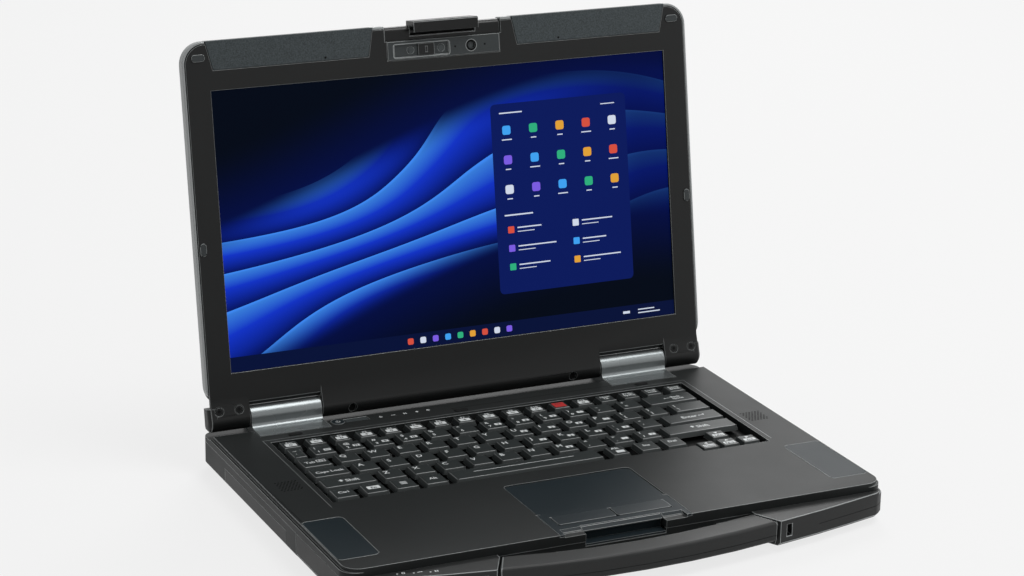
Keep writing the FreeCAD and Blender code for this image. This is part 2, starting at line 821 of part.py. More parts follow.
def key_rows():
    """Each row's run of equal keys as (foot of the first, step, count) and the feet of its other keys.

    A foot is ((left, right), (front, rear)).
    """
    bottom = row_span(0)
    arrow = ("arrow_x - arrow_w / 2", "arrow_x + arrow_w / 2")
    above = ("arrow_x - arrow_w / 2 + arrow_pitch", "arrow_x + arrow_w / 2 + arrow_pitch")
    lower = ("arrow_front", "arrow_front + arrow_d")
    upper = ("arrow_front + arrow_d + arrow_gap", "arrow_front + 2 * arrow_d + arrow_gap")
    edits = [(f"edit_left + {n} * edit_pitch", f"edit_left + {n} * edit_pitch + edit_w") for n in range(2)]
    beside_bar = [("alt_left", "alt_left + arrow_w")] + edits
    control = ((("keys_left", "keys_left + key_w"), bottom), "pitch", 4)
    functions = (("keys_left", "keys_left + fkey_w"), ("fkey_front", "fkey_front + fkey_d"))
    return {
        "function_keys": ((functions, "fkey_pitch", 17), []),
        "number_row_keys": letter_row(4, "grave_left", 12),
        "tab_row_keys": letter_row(3, "tab_left", 12),
        "caps_row_keys": letter_row(2, "caps_left", 11),
        "shift_row_keys": letter_row(1, "shift_left", 10),
        "bottom_row_keys": (control, [(span, bottom) for span in beside_bar]),
        "space_bar": (None, [(("keys_left + 4 * pitch", "space_right"), bottom)]),
        "arrow_keys": (((arrow, lower), "arrow_pitch", 3), [(above, upper)]),
    }


def make_key(body, foot):
    """One tapered key cap on a square stem that slides in the plate."""
    low = "deck_h + key_rise - key_h"
    cap = pad_rounded(body, (low, "deck_h + key_rise"), *foot, "key_r", "-key_slope")
    stem = pad_plan(body, ("deck_h - plate_drop - plate_t", f"{low} + gap"), [stem_corners(foot, "stem_w / 2")])
    return [cap, stem]


def make_keys(label, run, others):
    body = new_body(label)
    if run:
        foot, step, count = run
        in_line(body, make_key(body, foot), step, count)
    for foot in others:
        make_key(body, foot)
    stand(body, label)


KEY_ROWS = key_rows()


# Palm rest


def make_inlays():
    """Touch pad, palm covers and the plate round the pointing buttons."""
    top = "deck_h"
    low = "deck_h - inlay_t"
    height = (f"{low} - pad_drop", f"{top} - pad_drop")
    touch = block("touchpad", ("-pad_half", "pad_half"), ("pad_front", "pad_rear"), height)
    stand(softened("touchpad", touch, "inlay_r", at_corner), "touchpad")
    for side, word in ((1, "right"), (-1, "left")):
        cover = block("palm_cover", sided(side, "palm_in", "palm_out"), ("palm_front", "palm_rear"), (low, top))
        stand(softened("palm_cover", cover, "inlay_r", at_corner), f"palm_cover_{word}")
    body = new_body("button_plate")
    pad_plan(body, (low, top), [box_corners(("-button_plate_half", "button_plate_half"), ("0", "button_plate_rear"))])
    notch = box_corners(("-catch_half", "catch_half"), ("-gap", "catch_d"))
    buttons = box_corners(("-button_half - gap", "button_half + gap"), ("button_front - gap", "button_rear + gap"))
    pocket_plan(body, (low, top), [notch, buttons])
    pocket_side(body, ("-step_half", "step_half"), front_step())
    stand(body, "button_plate")


def make_buttons():
    """Two pointing buttons, and the round power button in its hole."""
    spans = {"left": ("-button_half", "button_split / 2 - 3 * gap"), "right": ("button_split / 2", "button_half")}
    for word, across in spans.items():
        cap = block("touch_button", across, ("button_front", "button_rear"), ("deck_h - button_t", "deck_h + gap"))
        stand(softened("touch_button", cap, "button_r", at_corner), f"touch_button_{word}")
    cap = disc("power_button", "power_x", "power_y", ("power_h - button_t", "power_h"), "power_r")
    stand(cap, "power_button")


def make_catch():
    """Block in the notch at the middle of the front, with a steel strip that the lid's hook grips."""
    body = new_body("latch_catch")
    half = ("-catch_half + gap", "catch_half - gap")
    section = [
        ("gap", "deck_h - catch_h - catch_t"),
        ("catch_d - gap", "deck_h - catch_h - catch_t"),
        ("catch_d - gap", "deck_h - gap"),
        ("step_top", "deck_h - gap"),
        ("strip_y", "deck_h - gap - step_h * (step_top - strip_y) / (step_top - step_y)"),
        ("strip_y", "deck_h - strip_t"),
        ("catch_d - gap - catch_t", "deck_h - strip_t"),
        ("catch_d - gap - catch_t", "deck_h - catch_h"),
        ("gap", "deck_h - catch_h"),
    ]
    pad_side(body, half, section)
    stand(body, "latch_catch")


def make_deck_trim():
    """Oval rubber pads that the closed lid rests on, the status window and the front indicator lens."""
    ovals = []
    for across in ("-123", "-11.4", "116.6"):
        x = (f"{across} - oval_w / 2", f"{across} + oval_w / 2")
        y = ("oval_pad_y - oval_d / 2", "oval_pad_y + oval_d / 2")
        pad_block = block("deck_pad", x, y, ("deck_h", "deck_h + oval_t"))
        ovals.append(softened("deck_pad", pad_block, "oval_r", at_corner))
    stand(together("deck_pads", ovals), "deck_pads")
    window = block("status_window", ("window_x - window_w / 2", "window_x + window_w / 2"),
                   ("window_y - window_d / 2", "window_y + window_d / 2"), ("window_h - inlay_t", "window_h"))
    stand(window, "status_window")


# Hinge cowls


def make_cowls():
    """Housings of the two hinges: a foot in the deck, a coved ramp and a barrel bored for the shaft."""
    section = [
        ("cowl_y", "cowl_seat"),
        ("case_d", "cowl_seat"),
        ("case_d", "deck_h"),
        ("axis_y + cowl_r", "axis_h - cowl_r / 2"),
        ("axis_y + cowl_r", "axis_h"),
        ("axis_y - cowl_r", "axis_h"),
        ("axis_y - cowl_r", "deck_h + cowl_lip"),
        ("cowl_y", "deck_h + cowl_lip"),
    ]
    for side, word in ((1, "right"), (-1, "left")):
        body = new_body("hinge_cowl")
        across = sided(side, "cowl_in", "cowl_out")
        pad_side(body, across, section)
        sketch = new_sketch(body, "YZ_Plane", across[0])
        circle(sketch, "axis_y", "axis_h", "cowl_r")
        pad(body, sketch, "cowl_out - cowl_in")
        dress(body, "Fillet", "Radius", "cowl_cove", is_cove)
        sketch = new_sketch(body, "YZ_Plane", across[1])
        circle(sketch, "axis_y", "axis_h", "shaft_r + shaft_gap")
        pocket(body, sketch, "cowl_out - cowl_in")
        stand(body, f"hinge_cowl_{word}")


def is_cove(edge, box):
    """The inner edge between a cowl's foot and the front of its barrel."""
    place = edge.CenterOfMass
    front = abs(place.y - size("axis_y") + size("cowl_r")) < 1e-3
    return front and lies_at(edge, size("deck_h") + size("cowl_lip"))


# Handle and corner guards


def make_grip():
    """Bowed bar across the front, with slanted ends."""
    body = new_body("carry_handle")
    sketch = new_sketch(body, "XY_Plane", "grip_bottom")
    front = bow("grip_front", "grip_front_end", "grip_front_half", 6)
    rear = bow("grip_rear", "grip_rear_end", "grip_half", 6)
    outline(sketch, front + rear[::-1])
    pad(body, sketch, "grip_top - grip_bottom")
    height = ("arm_h - arm_t / 2 - gap / 3", "arm_h + arm_t / 2 + gap / 3")
    seats = []
    for side in (1, -1):
        across = sided(side, "arm_x - arm_w / 2 - gap / 3", "arm_x + arm_w / 2 + gap / 3")
        seats.append(box_corners(across, ("-arm_root - gap / 3", "0")))
    pocket_plan(body, height, seats)
    dress(body, "Fillet", "Radius", "grip_edge", lambda edge, box: is_long_front(edge, box))
    stand(body, "carry_handle")


def bow(middle, end, half, count):
    """Points of a flat arc across the front, from left to right, as pairs of expressions."""
    points = []
    for step in range(count + 1):
        share = 2 * step / count - 1
        points.append((f"{half} * {share:.4f}", f"-({end}) - (({middle}) - ({end})) * {1 - share * share:.4f}"))
    return points


def is_long_front(edge, box):
    """The upper and lower edges along the front of the handle."""
    place = edge.CenterOfMass
    level = lies_at(edge, box.ZMax) or lies_at(edge, box.ZMin)
    return level and place.y < -size("grip_front_end") + 0.1 and edge.Length > size("grip_half") / 4


def make_arms():
    """Flat steel arms on which the handle slides out of the front wall."""
    arms = []
    for side in (1, -1):
        across = sided(side, "arm_x - arm_w / 2", "arm_x + arm_w / 2")
        arms.append(block("arm", across, ("-arm_root", "arm_in"), ("arm_h - arm_t / 2", "arm_h + arm_t / 2")))
    stand(together("handle_arms", arms), "handle_arms")


def make_guards():
    """Corner guards that stand out at the front and wrap round to the side walls."""
    shape = [
        ("grip_half + 1.4", "-grip_rear_end"),
        ("grip_front_half + 2", "-grip_front_end"),
        ("119.2", "-14.4"),
        ("142.7", "-9.3"),
        ("164.5", "-4.1"),
        ("case_w / 2 - 4.4", "-1.6"),
        ("case_w / 2 - 1.3", "1.4"),
        ("case_w / 2", "5.5"),
        ("case_w / 2", "guard_y"),
        ("case_w / 2 - guard_t", "guard_y"),
        ("case_w / 2 - guard_t", "corner_r * 0.12"),
        ("case_w / 2 - 0.9 * corner_r", "0"),
        ("grip_half + 1.4", "0"),
    ]
    for side, word in ((1, "right"), (-1, "left")):
        body = new_body("corner_guard")
        corners = shape if side > 0 else mirrored(shape)
        pad_plan(body, ("guard_bottom", "deck_h - top_h - gap"), [corners])
        brow = shape[:6] + [("case_w / 2 - 4.4", "-gap"), ("grip_half + 1.4", "-gap")]
        pad_plan(body, ("deck_h - top_h - 2 * gap", "grip_top"), [brow if side > 0 else mirrored(brow)])
        dress(body, "Chamfer", "Size", "guard_cut", lambda edge, box: is_guard_rim(edge, box))
        hole = box_corners(sided(side, "tether_x", "tether_x + tether_w"), ("-grip_front_end - 1", "-tether_y"))
        pocket_plan(body, ("arm_h - tether_w", "arm_h + tether_w"), [hole])
        stand(body, f"corner_guard_{word}")


def is_guard_rim(edge, box):
    """The lower outer edges of a corner guard."""
    place = edge.CenterOfMass
    reach = abs(place.x) > size("case_w") / 2 - size("guard_t") + size("gap")
    front = place.y < -size("grip_rear_end") / 1.5 and abs(place.x) > size("grip_front_half")
    return lies_at(edge, box.ZMin) and (front or (reach and place.y < size("guard_y") - 1))


# Pieces inside the base


def make_board_and_modules():
    """Mainboard on its posts, the drive on the floor under the palm rest, and the heat spreader with its pipe."""
    across = ("board_left", "case_w / 2 - board_end")
    board = block("mainboard", across, ("board_front", "board_rear"), ("board_h", "board_h + board_t"))
    stand(board, "mainboard")
    drive = block("ssd_module", ("-50", "50"), ("15", "85"), ("foot_h + floor + gap", "foot_h + floor + gap + 7"))
    stand(drive, "ssd_module")
    under = "board_h - gap"
    spreader = block("spreader", ("-22", "18"), ("150", "188"), (f"{under} - 2", under))
    pipe = block("pipe", ("-6", "2"), ("180", "fan_y - 4"), (f"{under} - 2", under))
    arm = block("pipe", ("fan_x + fan_r + 9", "2"), ("fan_y - 10", "fan_y - 2"), (f"{under} - 2", under))
    stand(fuse("heat_sink", [spreader, pipe, arm]), "heat_sink")
    top = "deck_h - skin - gap"
    boxes = []
    for side in (1, -1):
        across = sided(side, "bay_half + 2 * wall", "case_w / 2 - 3 * wall")
        boxes.append(block("speaker", across, ("117", "138"), (f"{top} - 5", top)))
    stand(together("speakers", boxes), "speakers")


def make_fan():
    """Blower housing with a round chamber and a bearing pin, and its rotor with straight blades."""
    half = "fan_r + 4"
    x = (f"fan_x - ({half})", f"fan_x + ({half})")
    y = (f"fan_y - ({half})", f"fan_y + ({half})")
    shell = block("fan_shell", x, y, ("fan_bottom", "fan_bottom + fan_h"))
    chamber = disc("chamber", "fan_x", "fan_y", ("fan_bottom + 1.2", "fan_bottom + fan_h - 1.2"), "fan_r + 1.6")
    eye = disc("eye", "fan_x", "fan_y", ("fan_bottom + 2", "fan_bottom + fan_h + gap"), "fan_r - 3")
    mouth = block("mouth", ("fan_x - fan_r", "fan_x + fan_r"), ("fan_y", f"fan_y + {half} + gap"),
                  ("fan_bottom + 1.2", "fan_bottom + fan_h - 1.2"))
    pin = disc("pin", "fan_x", "fan_y", ("fan_bottom + 0.6", "fan_bottom + fan_h - 3"), "pin_r")
    stand(fuse("fan_housing", [cut("fan_housing", shell, [chamber, eye, mouth]), pin]), "fan_housing")
    span = ("fan_bottom + 1.5", "fan_bottom + fan_h - 2.2")
    hub = disc("hub", "fan_x", "fan_y", span, "fan_r / 2.4")
    blades = []
    for turn in range(0, 360, 40):
        blade = block("blade", ("fan_x + fan_r / 3", "fan_x + fan_r"), ("fan_y - 0.45", "fan_y + 0.45"), span)
        middle = f"create(<<vector>>; fan_x; fan_y; 0)"
        corner = "create(<<vector>>; fan_x + fan_r / 3; fan_y - 0.45; fan_bottom + 1.5)"
        spin = f"create(<<rotation>>; create(<<vector>>; 0; 0; 1); {turn})"
        for prop in ("Placement.Base.x", "Placement.Base.y", "Placement.Base.z"):
            blade.setExpression(prop, None)
        bind(blade, "Placement", f"create(<<placement>>; {corner}; {spin}; {middle} - {corner})")
        blades.append(blade)
    bore = disc("bore", "fan_x", "fan_y", ("fan_bottom", "fan_bottom + fan_h"), "pin_r + shaft_gap")
    stand(cut("fan_rotor", fuse("rotor", [hub] + blades), [bore]), "fan_rotor")


BAY_LATCHES = (("battery_latch", "-150", "battery_rear + 4"), ("bay_latch", "130", "module_rear + 4"))


def is_keel(edge, across, box):
    """The lower edge of a pack or module along the given side."""
    return lies_at(edge, box.ZMin) and abs(edge.CenterOfMass.x - across) < 1e-3


def make_bay_modules():
    """Battery pack in the left side, expansion module in the right side and their latches in the floor."""
    height = ("battery_bottom", "battery_top")
    bevel = "keel_cut + foot_h - battery_bottom"
    pack = block("battery_pack", ("-case_w / 2", "battery_in"), ("battery_front", "battery_rear"), height)
    stand(bevelled("battery_pack", pack, bevel, lambda edge, box: is_keel(edge, box.XMin, box)), "battery_pack")
    module = block("bay_module", ("module_in", "case_w / 2"), ("module_front", "module_rear"), height)
    stand(bevelled("bay_module", module, bevel, lambda edge, box: is_keel(edge, box.XMax, box)), "bay_module")
    for label, across, along in BAY_LATCHES:
        x = (across, f"{across} + latch_w")
        plate = block("plate", x, (along, f"{along} + latch_d"), ("foot_h + gap", "foot_h + floor"))
        head = block("head", (f"{across} - 2", f"{across} + latch_w + 2"), (f"{along} - 2", f"{along} + latch_d + 2"),
                     ("foot_h + floor + gap / 3", "foot_h + floor + 1.2"))
        neck = block("neck", x, (along, f"{along} + latch_d"), ("foot_h + floor - 0.5", "foot_h + floor + 0.6"))
        stand(fuse(label, [plate, neck, head]), label)


def latch_slots():
    """Slots in the floor in which the two latches slide."""
    slots = []
    for _, across, along in BAY_LATCHES:
        slots.append(box_corners((f"{across} - gap", f"{across} + latch_w + gap"),
                                 (f"{along} - gap", f"{along} + latch_d + latch_travel + gap")))
    return slots


def make_ports():
    """Metal shells of the sockets in the right side and of the power inlet and exhaust grille at the rear."""
    outer = "case_w / 2 - 0.4"
    for label, (front, rear) in PORTS.items():
        height = ("port_h - port_half", "port_h + port_half")
        x = ("case_w / 2 - port_deep", outer)
        shell = block(label, x, (front, rear), height)
        if label == "audio_jack":
            x = ("case_w / 2 - port_deep + 2", "case_w / 2")
            bore = rod("bore", x, f"({front} + {rear}) / 2", "port_h", "jack_r")
            stand(cut(label, shell, [bore]), label)
        elif label == "usb_ports":
            hollows = []
            tongues = []
            for start in (f"{front} + 1.2", f"{front} + 16.4"):
                x = ("case_w / 2 - port_deep + 2", "case_w / 2")
                hollows.append(block("hollow", x, (start, f"{start} + 12.4"), ("port_h - 2.4", "port_h + 2.4")))
                x = ("case_w / 2 - port_deep + 1", "case_w / 2 - 2")
                y = (f"{start} + 0.9", f"{start} + 11.5")
                tongues.append(block("tongue", x, y, ("port_h + 0.1", "port_h + 1.6")))
            stand(fuse(label, [cut(label, shell, hollows)] + tongues), label)
        else:
            hollow = block("hollow", ("case_w / 2 - port_deep + 1.2", "case_w / 2"), (f"{front} + 0.8", f"{rear} - 0.8"),
                           ("port_h - port_half + 0.6", "port_h + port_half - 0.6"))
            stand(cut(label, shell, [hollow]), label)


def make_rear_fittings():
    """Power inlet and exhaust grille in the rear wall."""
    y = ("case_d - 12", "case_d - 0.4")
    shell = block("dc_jack", ("inlet_x - 5", "inlet_x + 5"), y, ("port_h - 5", "port_h + 5"))
    hole = DOC.addObject("Part::Cylinder", "inlet_hole")
    hole.Placement.Rotation = FreeCAD.Rotation(FreeCAD.Vector(1, 0, 0), -90)
    pin = DOC.addObject("Part::Cylinder", "inlet_pin")
    pin.Placement.Rotation = FreeCAD.Rotation(FreeCAD.Vector(1, 0, 0), -90)
    for item, radius, start, stop in ((hole, "inlet_r", "case_d - 10.5", "case_d"), (pin, "1", "case_d - 11", "case_d - 2")):
        bind(item, "Radius", radius)
        bind(item, "Height", f"({stop}) - ({start})")
        bind(item, "Placement.Base.x", "inlet_x")
        bind(item, "Placement.Base.y", start)
        bind(item, "Placement.Base.z", "port_h")
    stand(fuse("dc_jack", [cut("dc_jack", shell, [hole]), pin]), "dc_jack")
    frame = block("grille", ("fan_x - fan_r", "fan_x + fan_r"), ("case_d - wall", "case_d - 0.5"),
                  ("fan_bottom + 2", "fan_bottom + fan_h"))
    slots = [block("slot", (f"fan_x - fan_r + 1.5 + {n} * 3.1", f"fan_x - fan_r + 1.5 + {n} * 3.1 + 1.9"),
                   ("case_d - wall - gap", "case_d"), ("fan_bottom + 3", "fan_bottom + fan_h - 1")) for n in range(9)]
    stand(cut("exhaust_grille", frame, slots), "exhaust_grille")


def make_underside():
    """Rubber feet and the screws of the bottom shell."""
    feet = []
    for side in (1, -1):
        for front, rear in (("14", "24"), ("case_d - 34", "case_d - 24")):
            foot = block("foot", sided(side, "128", "156"), (front, rear), ("0", "foot_h"))
            feet.append(softened("foot", foot, "inlay_r", at_corner))
    stand(together("feet", feet), "feet")
    screws = []
    for x in ("-116", "0", "116"):
        for y in ("7", "case_d - 9"):
            screws.append(disc("screw", x, y, ("foot_h - 0.6", "foot_h"), "screw_r"))
    stand(together("bottom_screws", screws), "bottom_screws")


# Lid


def make_lid_cover():
    """Outer shell of the lid: back skin and rim, open for the hook at the top and cut back at the hinges."""
    body = new_body("lid_cover")
    outer = box_corners(("-lid_w / 2", "lid_w / 2"), ("lid_foot - 4.5", "lid_top"))
    pad_plan(body, ("-lid_back", "lid_face - gap"), [outer])
    dress(body, "Fillet", "Radius", "lid_r", lambda edge, box: at_corner(edge, box) and edge.CenterOfMass.y > 0)
    dress(body, "Chamfer", "Size", "edge_cut", lambda edge, box: lies_at(edge, box.ZMin) and edge.CenterOfMass.y > box.YMin + 1)
    inside = ("-lid_w / 2 + lid_rim", "lid_w / 2 - lid_rim")
    pocket_rounded(body, ("lid_skin - lid_back", "lid_face"), inside, ("-lid_r", "lid_top - lid_rim"), "lid_r - lid_rim")
    hook = box_corners(("-recess_half", "recess_half"), ("recess_y", "lid_top + gap"))
    pocket_plan(body, ("-lid_back - gap", "lid_face"), [hook])
    pocket_plan(body, ("lid_skin - lid_back", "lid_face"), [antenna_corners(side, "gap") for side in (1, -1)])
    hang(body, "lid_cover")


def antenna_corners(side, grow):
    """Plan of the antenna window in the lid's upper edge, with slanted ends."""
    corners = [
        (f"antenna_in - {grow}", f"antenna_y - {grow}"),
        (f"antenna_out - 1.8 + {grow}", f"antenna_y - {grow}"),
        (f"antenna_out + 2.4 + {grow}", "lid_top + gap" if grow != "0" else "lid_top"),
        (f"antenna_in - 3.5 - {grow}", "lid_top + gap" if grow != "0" else "lid_top"),
    ]
    return corners if side > 0 else mirrored(corners)


def make_lid_bezel():
    """Front frame of the lid, with the roll and the two lobes that hold the hinge shafts."""
    body = new_body("lid_bezel")
    inset = "(lid_rim + gap)"
    plate = box_corners((f"-lid_w / 2 + {inset}", f"lid_w / 2 - {inset}"), ("lid_foot", f"lid_top - {inset}"))
    pad_plan(body, ("lid_face - bezel_t", "lid_face"), [plate])
    dress(body, "Fillet", "Radius", "lid_r - lid_rim", lambda edge, box: at_corner(edge, box) and edge.CenterOfMass.y > box.YMax / 2)
    edge = f"lid_w / 2 - {inset}"
    for side in (1, -1):
        add_lobe_end(body, side, edge)
    for across in (("-roll_half", "roll_half"), ("lobe_in", edge), (f"-({edge})", "-lobe_in")):
        add_roll(body, across)
    foot = [
        ("notch_y", "lid_face - bezel_t"),
        ("lid_foot + 1.2", "lid_face - bezel_t"),
        ("lid_foot + 1.2", "lid_face"),
        ("notch_y + 1.5 * bezel_t", "lid_face"),
    ]
    for side in (1, -1):
        pad_side(body, sided(side, "roll_half", "lobe_in"), foot)
    back = box_corners(("-lid_w / 2", "lid_w / 2"), ("-roll_r - gap", "roll_r + gap"))
    pocket_plan(body, ("-roll_r - gap", "-lid_back"), [back])
    for side in (1, -1):
        across = sided(side, "shaft_in", "shaft_out")
        sketch = new_sketch(body, "YZ_Plane", across[1])
        circle(sketch, "0", "0", "shaft_r + shaft_gap")
        pocket(body, sketch, "shaft_out - shaft_in")
    for x, y, radius, depth in (
        ("plug_x", "plug_y", "plug_r", "plug_deep"),
        ("screw_in", "screw_y", "screw_hole_r", "screw_sink"),
        ("screw_out", "screw_y", "screw_hole_r", "screw_sink"),
    ):
        sketch = new_sketch(body, "XY_Plane", "roll_r")
        circle(sketch, x, y, radius)
        circle(sketch, f"-{x}", y, radius)
        pocket(body, sketch, f"roll_r - lobe_face + {depth}")
    window = box_corners(("-screen_w / 2", "screen_w / 2"), ("screen_y", "screen_y + screen_d"))
    hook = box_corners(("-recess_half", "recess_half"), ("recess_y", "lid_top"))
    camera = box_corners(("-camera_half - gap", "camera_half + gap"), ("camera_y - gap", "recess_y + gap"))
    pocket_plan(body, ("lid_face - bezel_t - gap", "lid_face + gap"), [window])
    pocket_plan(body, ("lid_face - bezel_t - gap", "lid_face + gap"), [hook])
    pocket_plan(body, ("lid_face - bezel_t - gap", "lid_face + gap"), [camera])
    pocket_plan(body, ("lid_face - bezel_t - gap", "lid_face + gap"), [antenna_corners(side, "gap") for side in (1, -1)])
    hang(body, "lid_bezel")


def add_roll(body, across):
    """A stretch of the lid's lower edge: round about the hinge axis, running out into the bezel's face."""
    section = [
        ("0", "roll_r"),
        ("0", "-lid_back"),
        ("lid_foot - 4.5 - gap", "-lid_back"),
        ("lid_foot - 4.5 - gap", "lid_face - bezel_t"),
        ("lid_foot + 1.2", "lid_face - bezel_t"),
        ("lid_foot + 1.2", "lid_face"),
    ]
    pad_side(body, across, section)
    sketch = new_sketch(body, "YZ_Plane", across[0])
    circle(sketch, "0", "0", "roll_r")
    pad(body, sketch, f"({across[1]}) - ({across[0]})")


def add_lobe_end(body, side, start):
    """The rounded outer end of a lobe, which runs out to the lid's full width below the cover's rim."""
    section = [
        ("0", "roll_r"),
        ("0", "-lid_back"),
        ("lid_foot - 4.5 - gap", "-lid_back"),
        ("lid_foot - 4.5 - gap", "lobe_face - gap"),
    ]
    across = sided(side, f"{start} - lobe_round", "lid_w / 2")
    pad_side(body, across, section)
    sketch = new_sketch(body, "YZ_Plane", across[0])
    circle(sketch, "0", "0", "roll_r")
    pad(body, sketch, f"({across[1]}) - ({across[0]})")
    outer = side * size("lid_w") / 2
    dress(body, "Fillet", "Radius", "lobe_round", lambda edge, box: is_lobe_rim(edge, outer))


def is_lobe_rim(edge, outer):
    """An edge of a lobe's end face, apart from the one under the cover's rim."""
    at_end = all(abs(vertex.X - outer) < 1e-3 for vertex in edge.Vertexes)
    return at_end and edge.CenterOfMass.y < size("roll_r")


def make_screen():
    """Display panel behind the bezel's window."""
    x = ("-screen_w / 2 - panel_lap", "screen_w / 2 + panel_lap")
    y = ("screen_y - panel_lap", "screen_y + screen_d + panel_lap")
    top = "lid_face - bezel_t - gap / 3"
    hang(block("lcd_panel", x, y, (f"{top} - panel_t", top)), "lcd_panel")


def make_antenna_covers():
    for side, word in ((1, "right"), (-1, "left")):
        body = new_body("antenna_cover")
        pad_plan(body, ("lid_skin - lid_back + gap", "lid_face + gap / 2"), [antenna_corners(side, "0")])
        hang(body, f"antenna_cover_{word}")


def make_camera():
    """Camera bar with a sunken window, its lenses, and the shutter that slides in the window."""
    body = new_body("camera_bar")
    top = "lid_face + camera_rise"
    pad_plan(body, ("lid_face - bezel_t - gap / 3", top), [box_corners(("-camera_half", "camera_half"), ("camera_y", "camera_top"))])
    window = box_corners(("window_left", "window_right"), ("lens_y - shutter_d / 2 - gap", "lens_y + shutter_d / 2 + gap"))
    pocket_plan(body, (f"{top} - shutter_t - 0.2", top), [window])
    for x in LENSES:
        sketch = new_sketch(body, "XY_Plane", top)
        circle(sketch, x, "lens_y", "lens_r + gap / 3")
        pocket(body, sketch, "shutter_t + 0.9")
    hang(body, "camera_bar")
    eyes = [disc("lens", x, "lens_y", (f"{top} - shutter_t - 0.8", f"{top} - shutter_t - 0.3"), "lens_r") for x in LENSES]
    hang(together("camera_lenses", eyes), "camera_lenses")
    y = ("lens_y - shutter_d / 2", "lens_y + shutter_d / 2")
    x = ("shutter_x - shutter_w / 2", "shutter_x + shutter_w / 2")
    plate = block("shutter", x, y, (f"{top} - shutter_t - 0.1", f"{top} - 0.1"))
    rib = block("rib", ("shutter_x - 0.6", "shutter_x + 0.6"), ("lens_y - shutter_d / 4", "lens_y + shutter_d / 4"), (f"{top} - 0.2", f"{top} + 0.3"))
    hang(fuse("camera_shutter", [plate, rib]), "camera_shutter")


def make_lid_trim():
    """Rubber bumpers on the bezel and the screws of the lobes."""
    bumpers = []
    spans = []
    for side in (1, -1):
        spans.append((sided(side, "157.3", "165.8"), ("221.0", "225.4")))
        spans.append((sided(side, "164.9", "168.9"), ("102.8", "110.8")))
    for x, y in spans:
        bump = block("bumper", x, y, ("lid_face", "lid_face + bumper_t"))
        bumpers.append(softened("bumper", bump, "bumper_r", at_corner))
    hang(together("lid_bumpers", bumpers), "lid_bumpers")
    heads = []
    for side in (1, -1):
        for x in ("screw_in", "screw_out"):
            middle = x if side > 0 else f"-{x}"
            seat = "lobe_face - screw_sink"
            heads.append(disc("head", middle, "screw_y", (seat, f"{seat} + screw_sink - gap"), "screw_r"))
    hang(together("lid_screws", heads), "lid_screws")


def make_hinge_shafts():
    """Steel shafts on the hinge axis, held in the lid's roll and lobes and turning in the cowls."""
    shafts = [rod("shaft", sided(side, "shaft_in + gap", "shaft_out - gap"), "0", "0", "shaft_r") for side in (1, -1)]
    hang(together("hinge_shafts", shafts), "hinge_shafts")


def make_latch():
    """Knuckles and pin at the lid's top edge, and the hook that turns on them."""
    deep = ("hook_z - knuckle_r", "hook_z + knuckle_r")
    bar_top = "hook_y - hook_barrel_r - gap"
    knuckles = [block("bar", ("-recess_half + gap", "recess_half - gap"), ("recess_y + gap", bar_top), deep)]
    for side in (1, -1):
        across = sided(side, "hook_half + gap", "recess_half - gap")
        barrel = rod("knuckle", across, "hook_y", "hook_z", "knuckle_r")
        root = block("root", across, ("recess_y + gap", "hook_y"), deep)
        knuckles.append(fuse("knuckle", [barrel, root]))
    pin = rod("pin", ("-recess_half + 2", "recess_half - 2"), "hook_y", "hook_z", "hook_pin_r")
    hang(fuse("latch_pivot", knuckles + [pin]), "latch_pivot")
    body = new_body("latch_hook")
    across = ("-hook_half", "hook_half")
    arm_y = "hook_y + hook_barrel_r + gap"
    section = [
        ("hook_y + 1", "hook_z - hook_barrel_r + 0.2"),
        (f"{arm_y} + hook_arm_t", "hook_z - hook_barrel_r + 0.8"),
        (f"{arm_y} + hook_arm_t", "hook_out - 0.8"),
        (f"{arm_y} + hook_arm_t - 0.8", "hook_out"),
        ("hook_lip", "hook_out"),
        ("hook_lip", "hook_out - hook_t + 0.6"),
        ("hook_lip + 1.5", "hook_out - hook_t"),
        (f"{arm_y} - 1.2", "hook_out - hook_t"),
        (arm_y, "hook_out - hook_t - 1.4"),
        (arm_y, "hook_z + 1.6"),
        ("hook_y + 1", "hook_z + 1.6"),
    ]
    pad_side(body, across, section)
    sketch = new_sketch(body, "YZ_Plane", across[0])
    circle(sketch, "hook_y", "hook_z", "hook_barrel_r")
    pad(body, sketch, "2 * hook_half")
    sketch = new_sketch(body, "YZ_Plane", across[1])
    circle(sketch, "hook_y", "hook_z", "hook_pin_r + shaft_gap")
    pocket(body, sketch, "2 * hook_half")
    hang(body, "latch_hook")


LENSES = ("-22.4", "-1.6", "18.6")


def build():
    make_bottom_case()
    make_top_case()
    make_keyboard_plate()
    for label, (run, others) in KEY_ROWS.items():
        make_keys(label, run, others)
    make_inlays()
    make_buttons()
    make_catch()
    make_deck_trim()
    make_cowls()
    make_grip()
    make_arms()
    make_guards()
    make_board_and_modules()
    make_fan()
    make_bay_modules()
    make_ports()
    make_rear_fittings()
    make_underside()
    make_lid_cover()
    make_lid_bezel()
    make_screen()
    make_antenna_covers()
    make_camera()
    make_lid_trim()
    make_hinge_shafts()
    make_latch()
    DOC.recompute()


def check():
    """Stops before anything is written if a feature failed or a sub-part is not sound."""
    faults = []
    for item in DOC.Objects:
        if "Invalid" in item.State or "Error" in item.State:
            faults.append(f"{item.Name} {item.State}")
    for item in NODES:
        if item.Shape.isNull() or not item.Shape.isValid() or not item.Shape.Solids:
            faults.append(f"{item.Label} shape")
    if faults:
        raise RuntimeError("; ".join(faults))


def write():
    os.makedirs("parts", exist_ok=True)
    for item in NODES:
        item.Shape.exportStep(f"parts/{item.Label}.step")


build()
check()
write()
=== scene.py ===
"""Semi-rugged laptop computer: finishes, key legends, a lit screen and small fittings over the frame."""

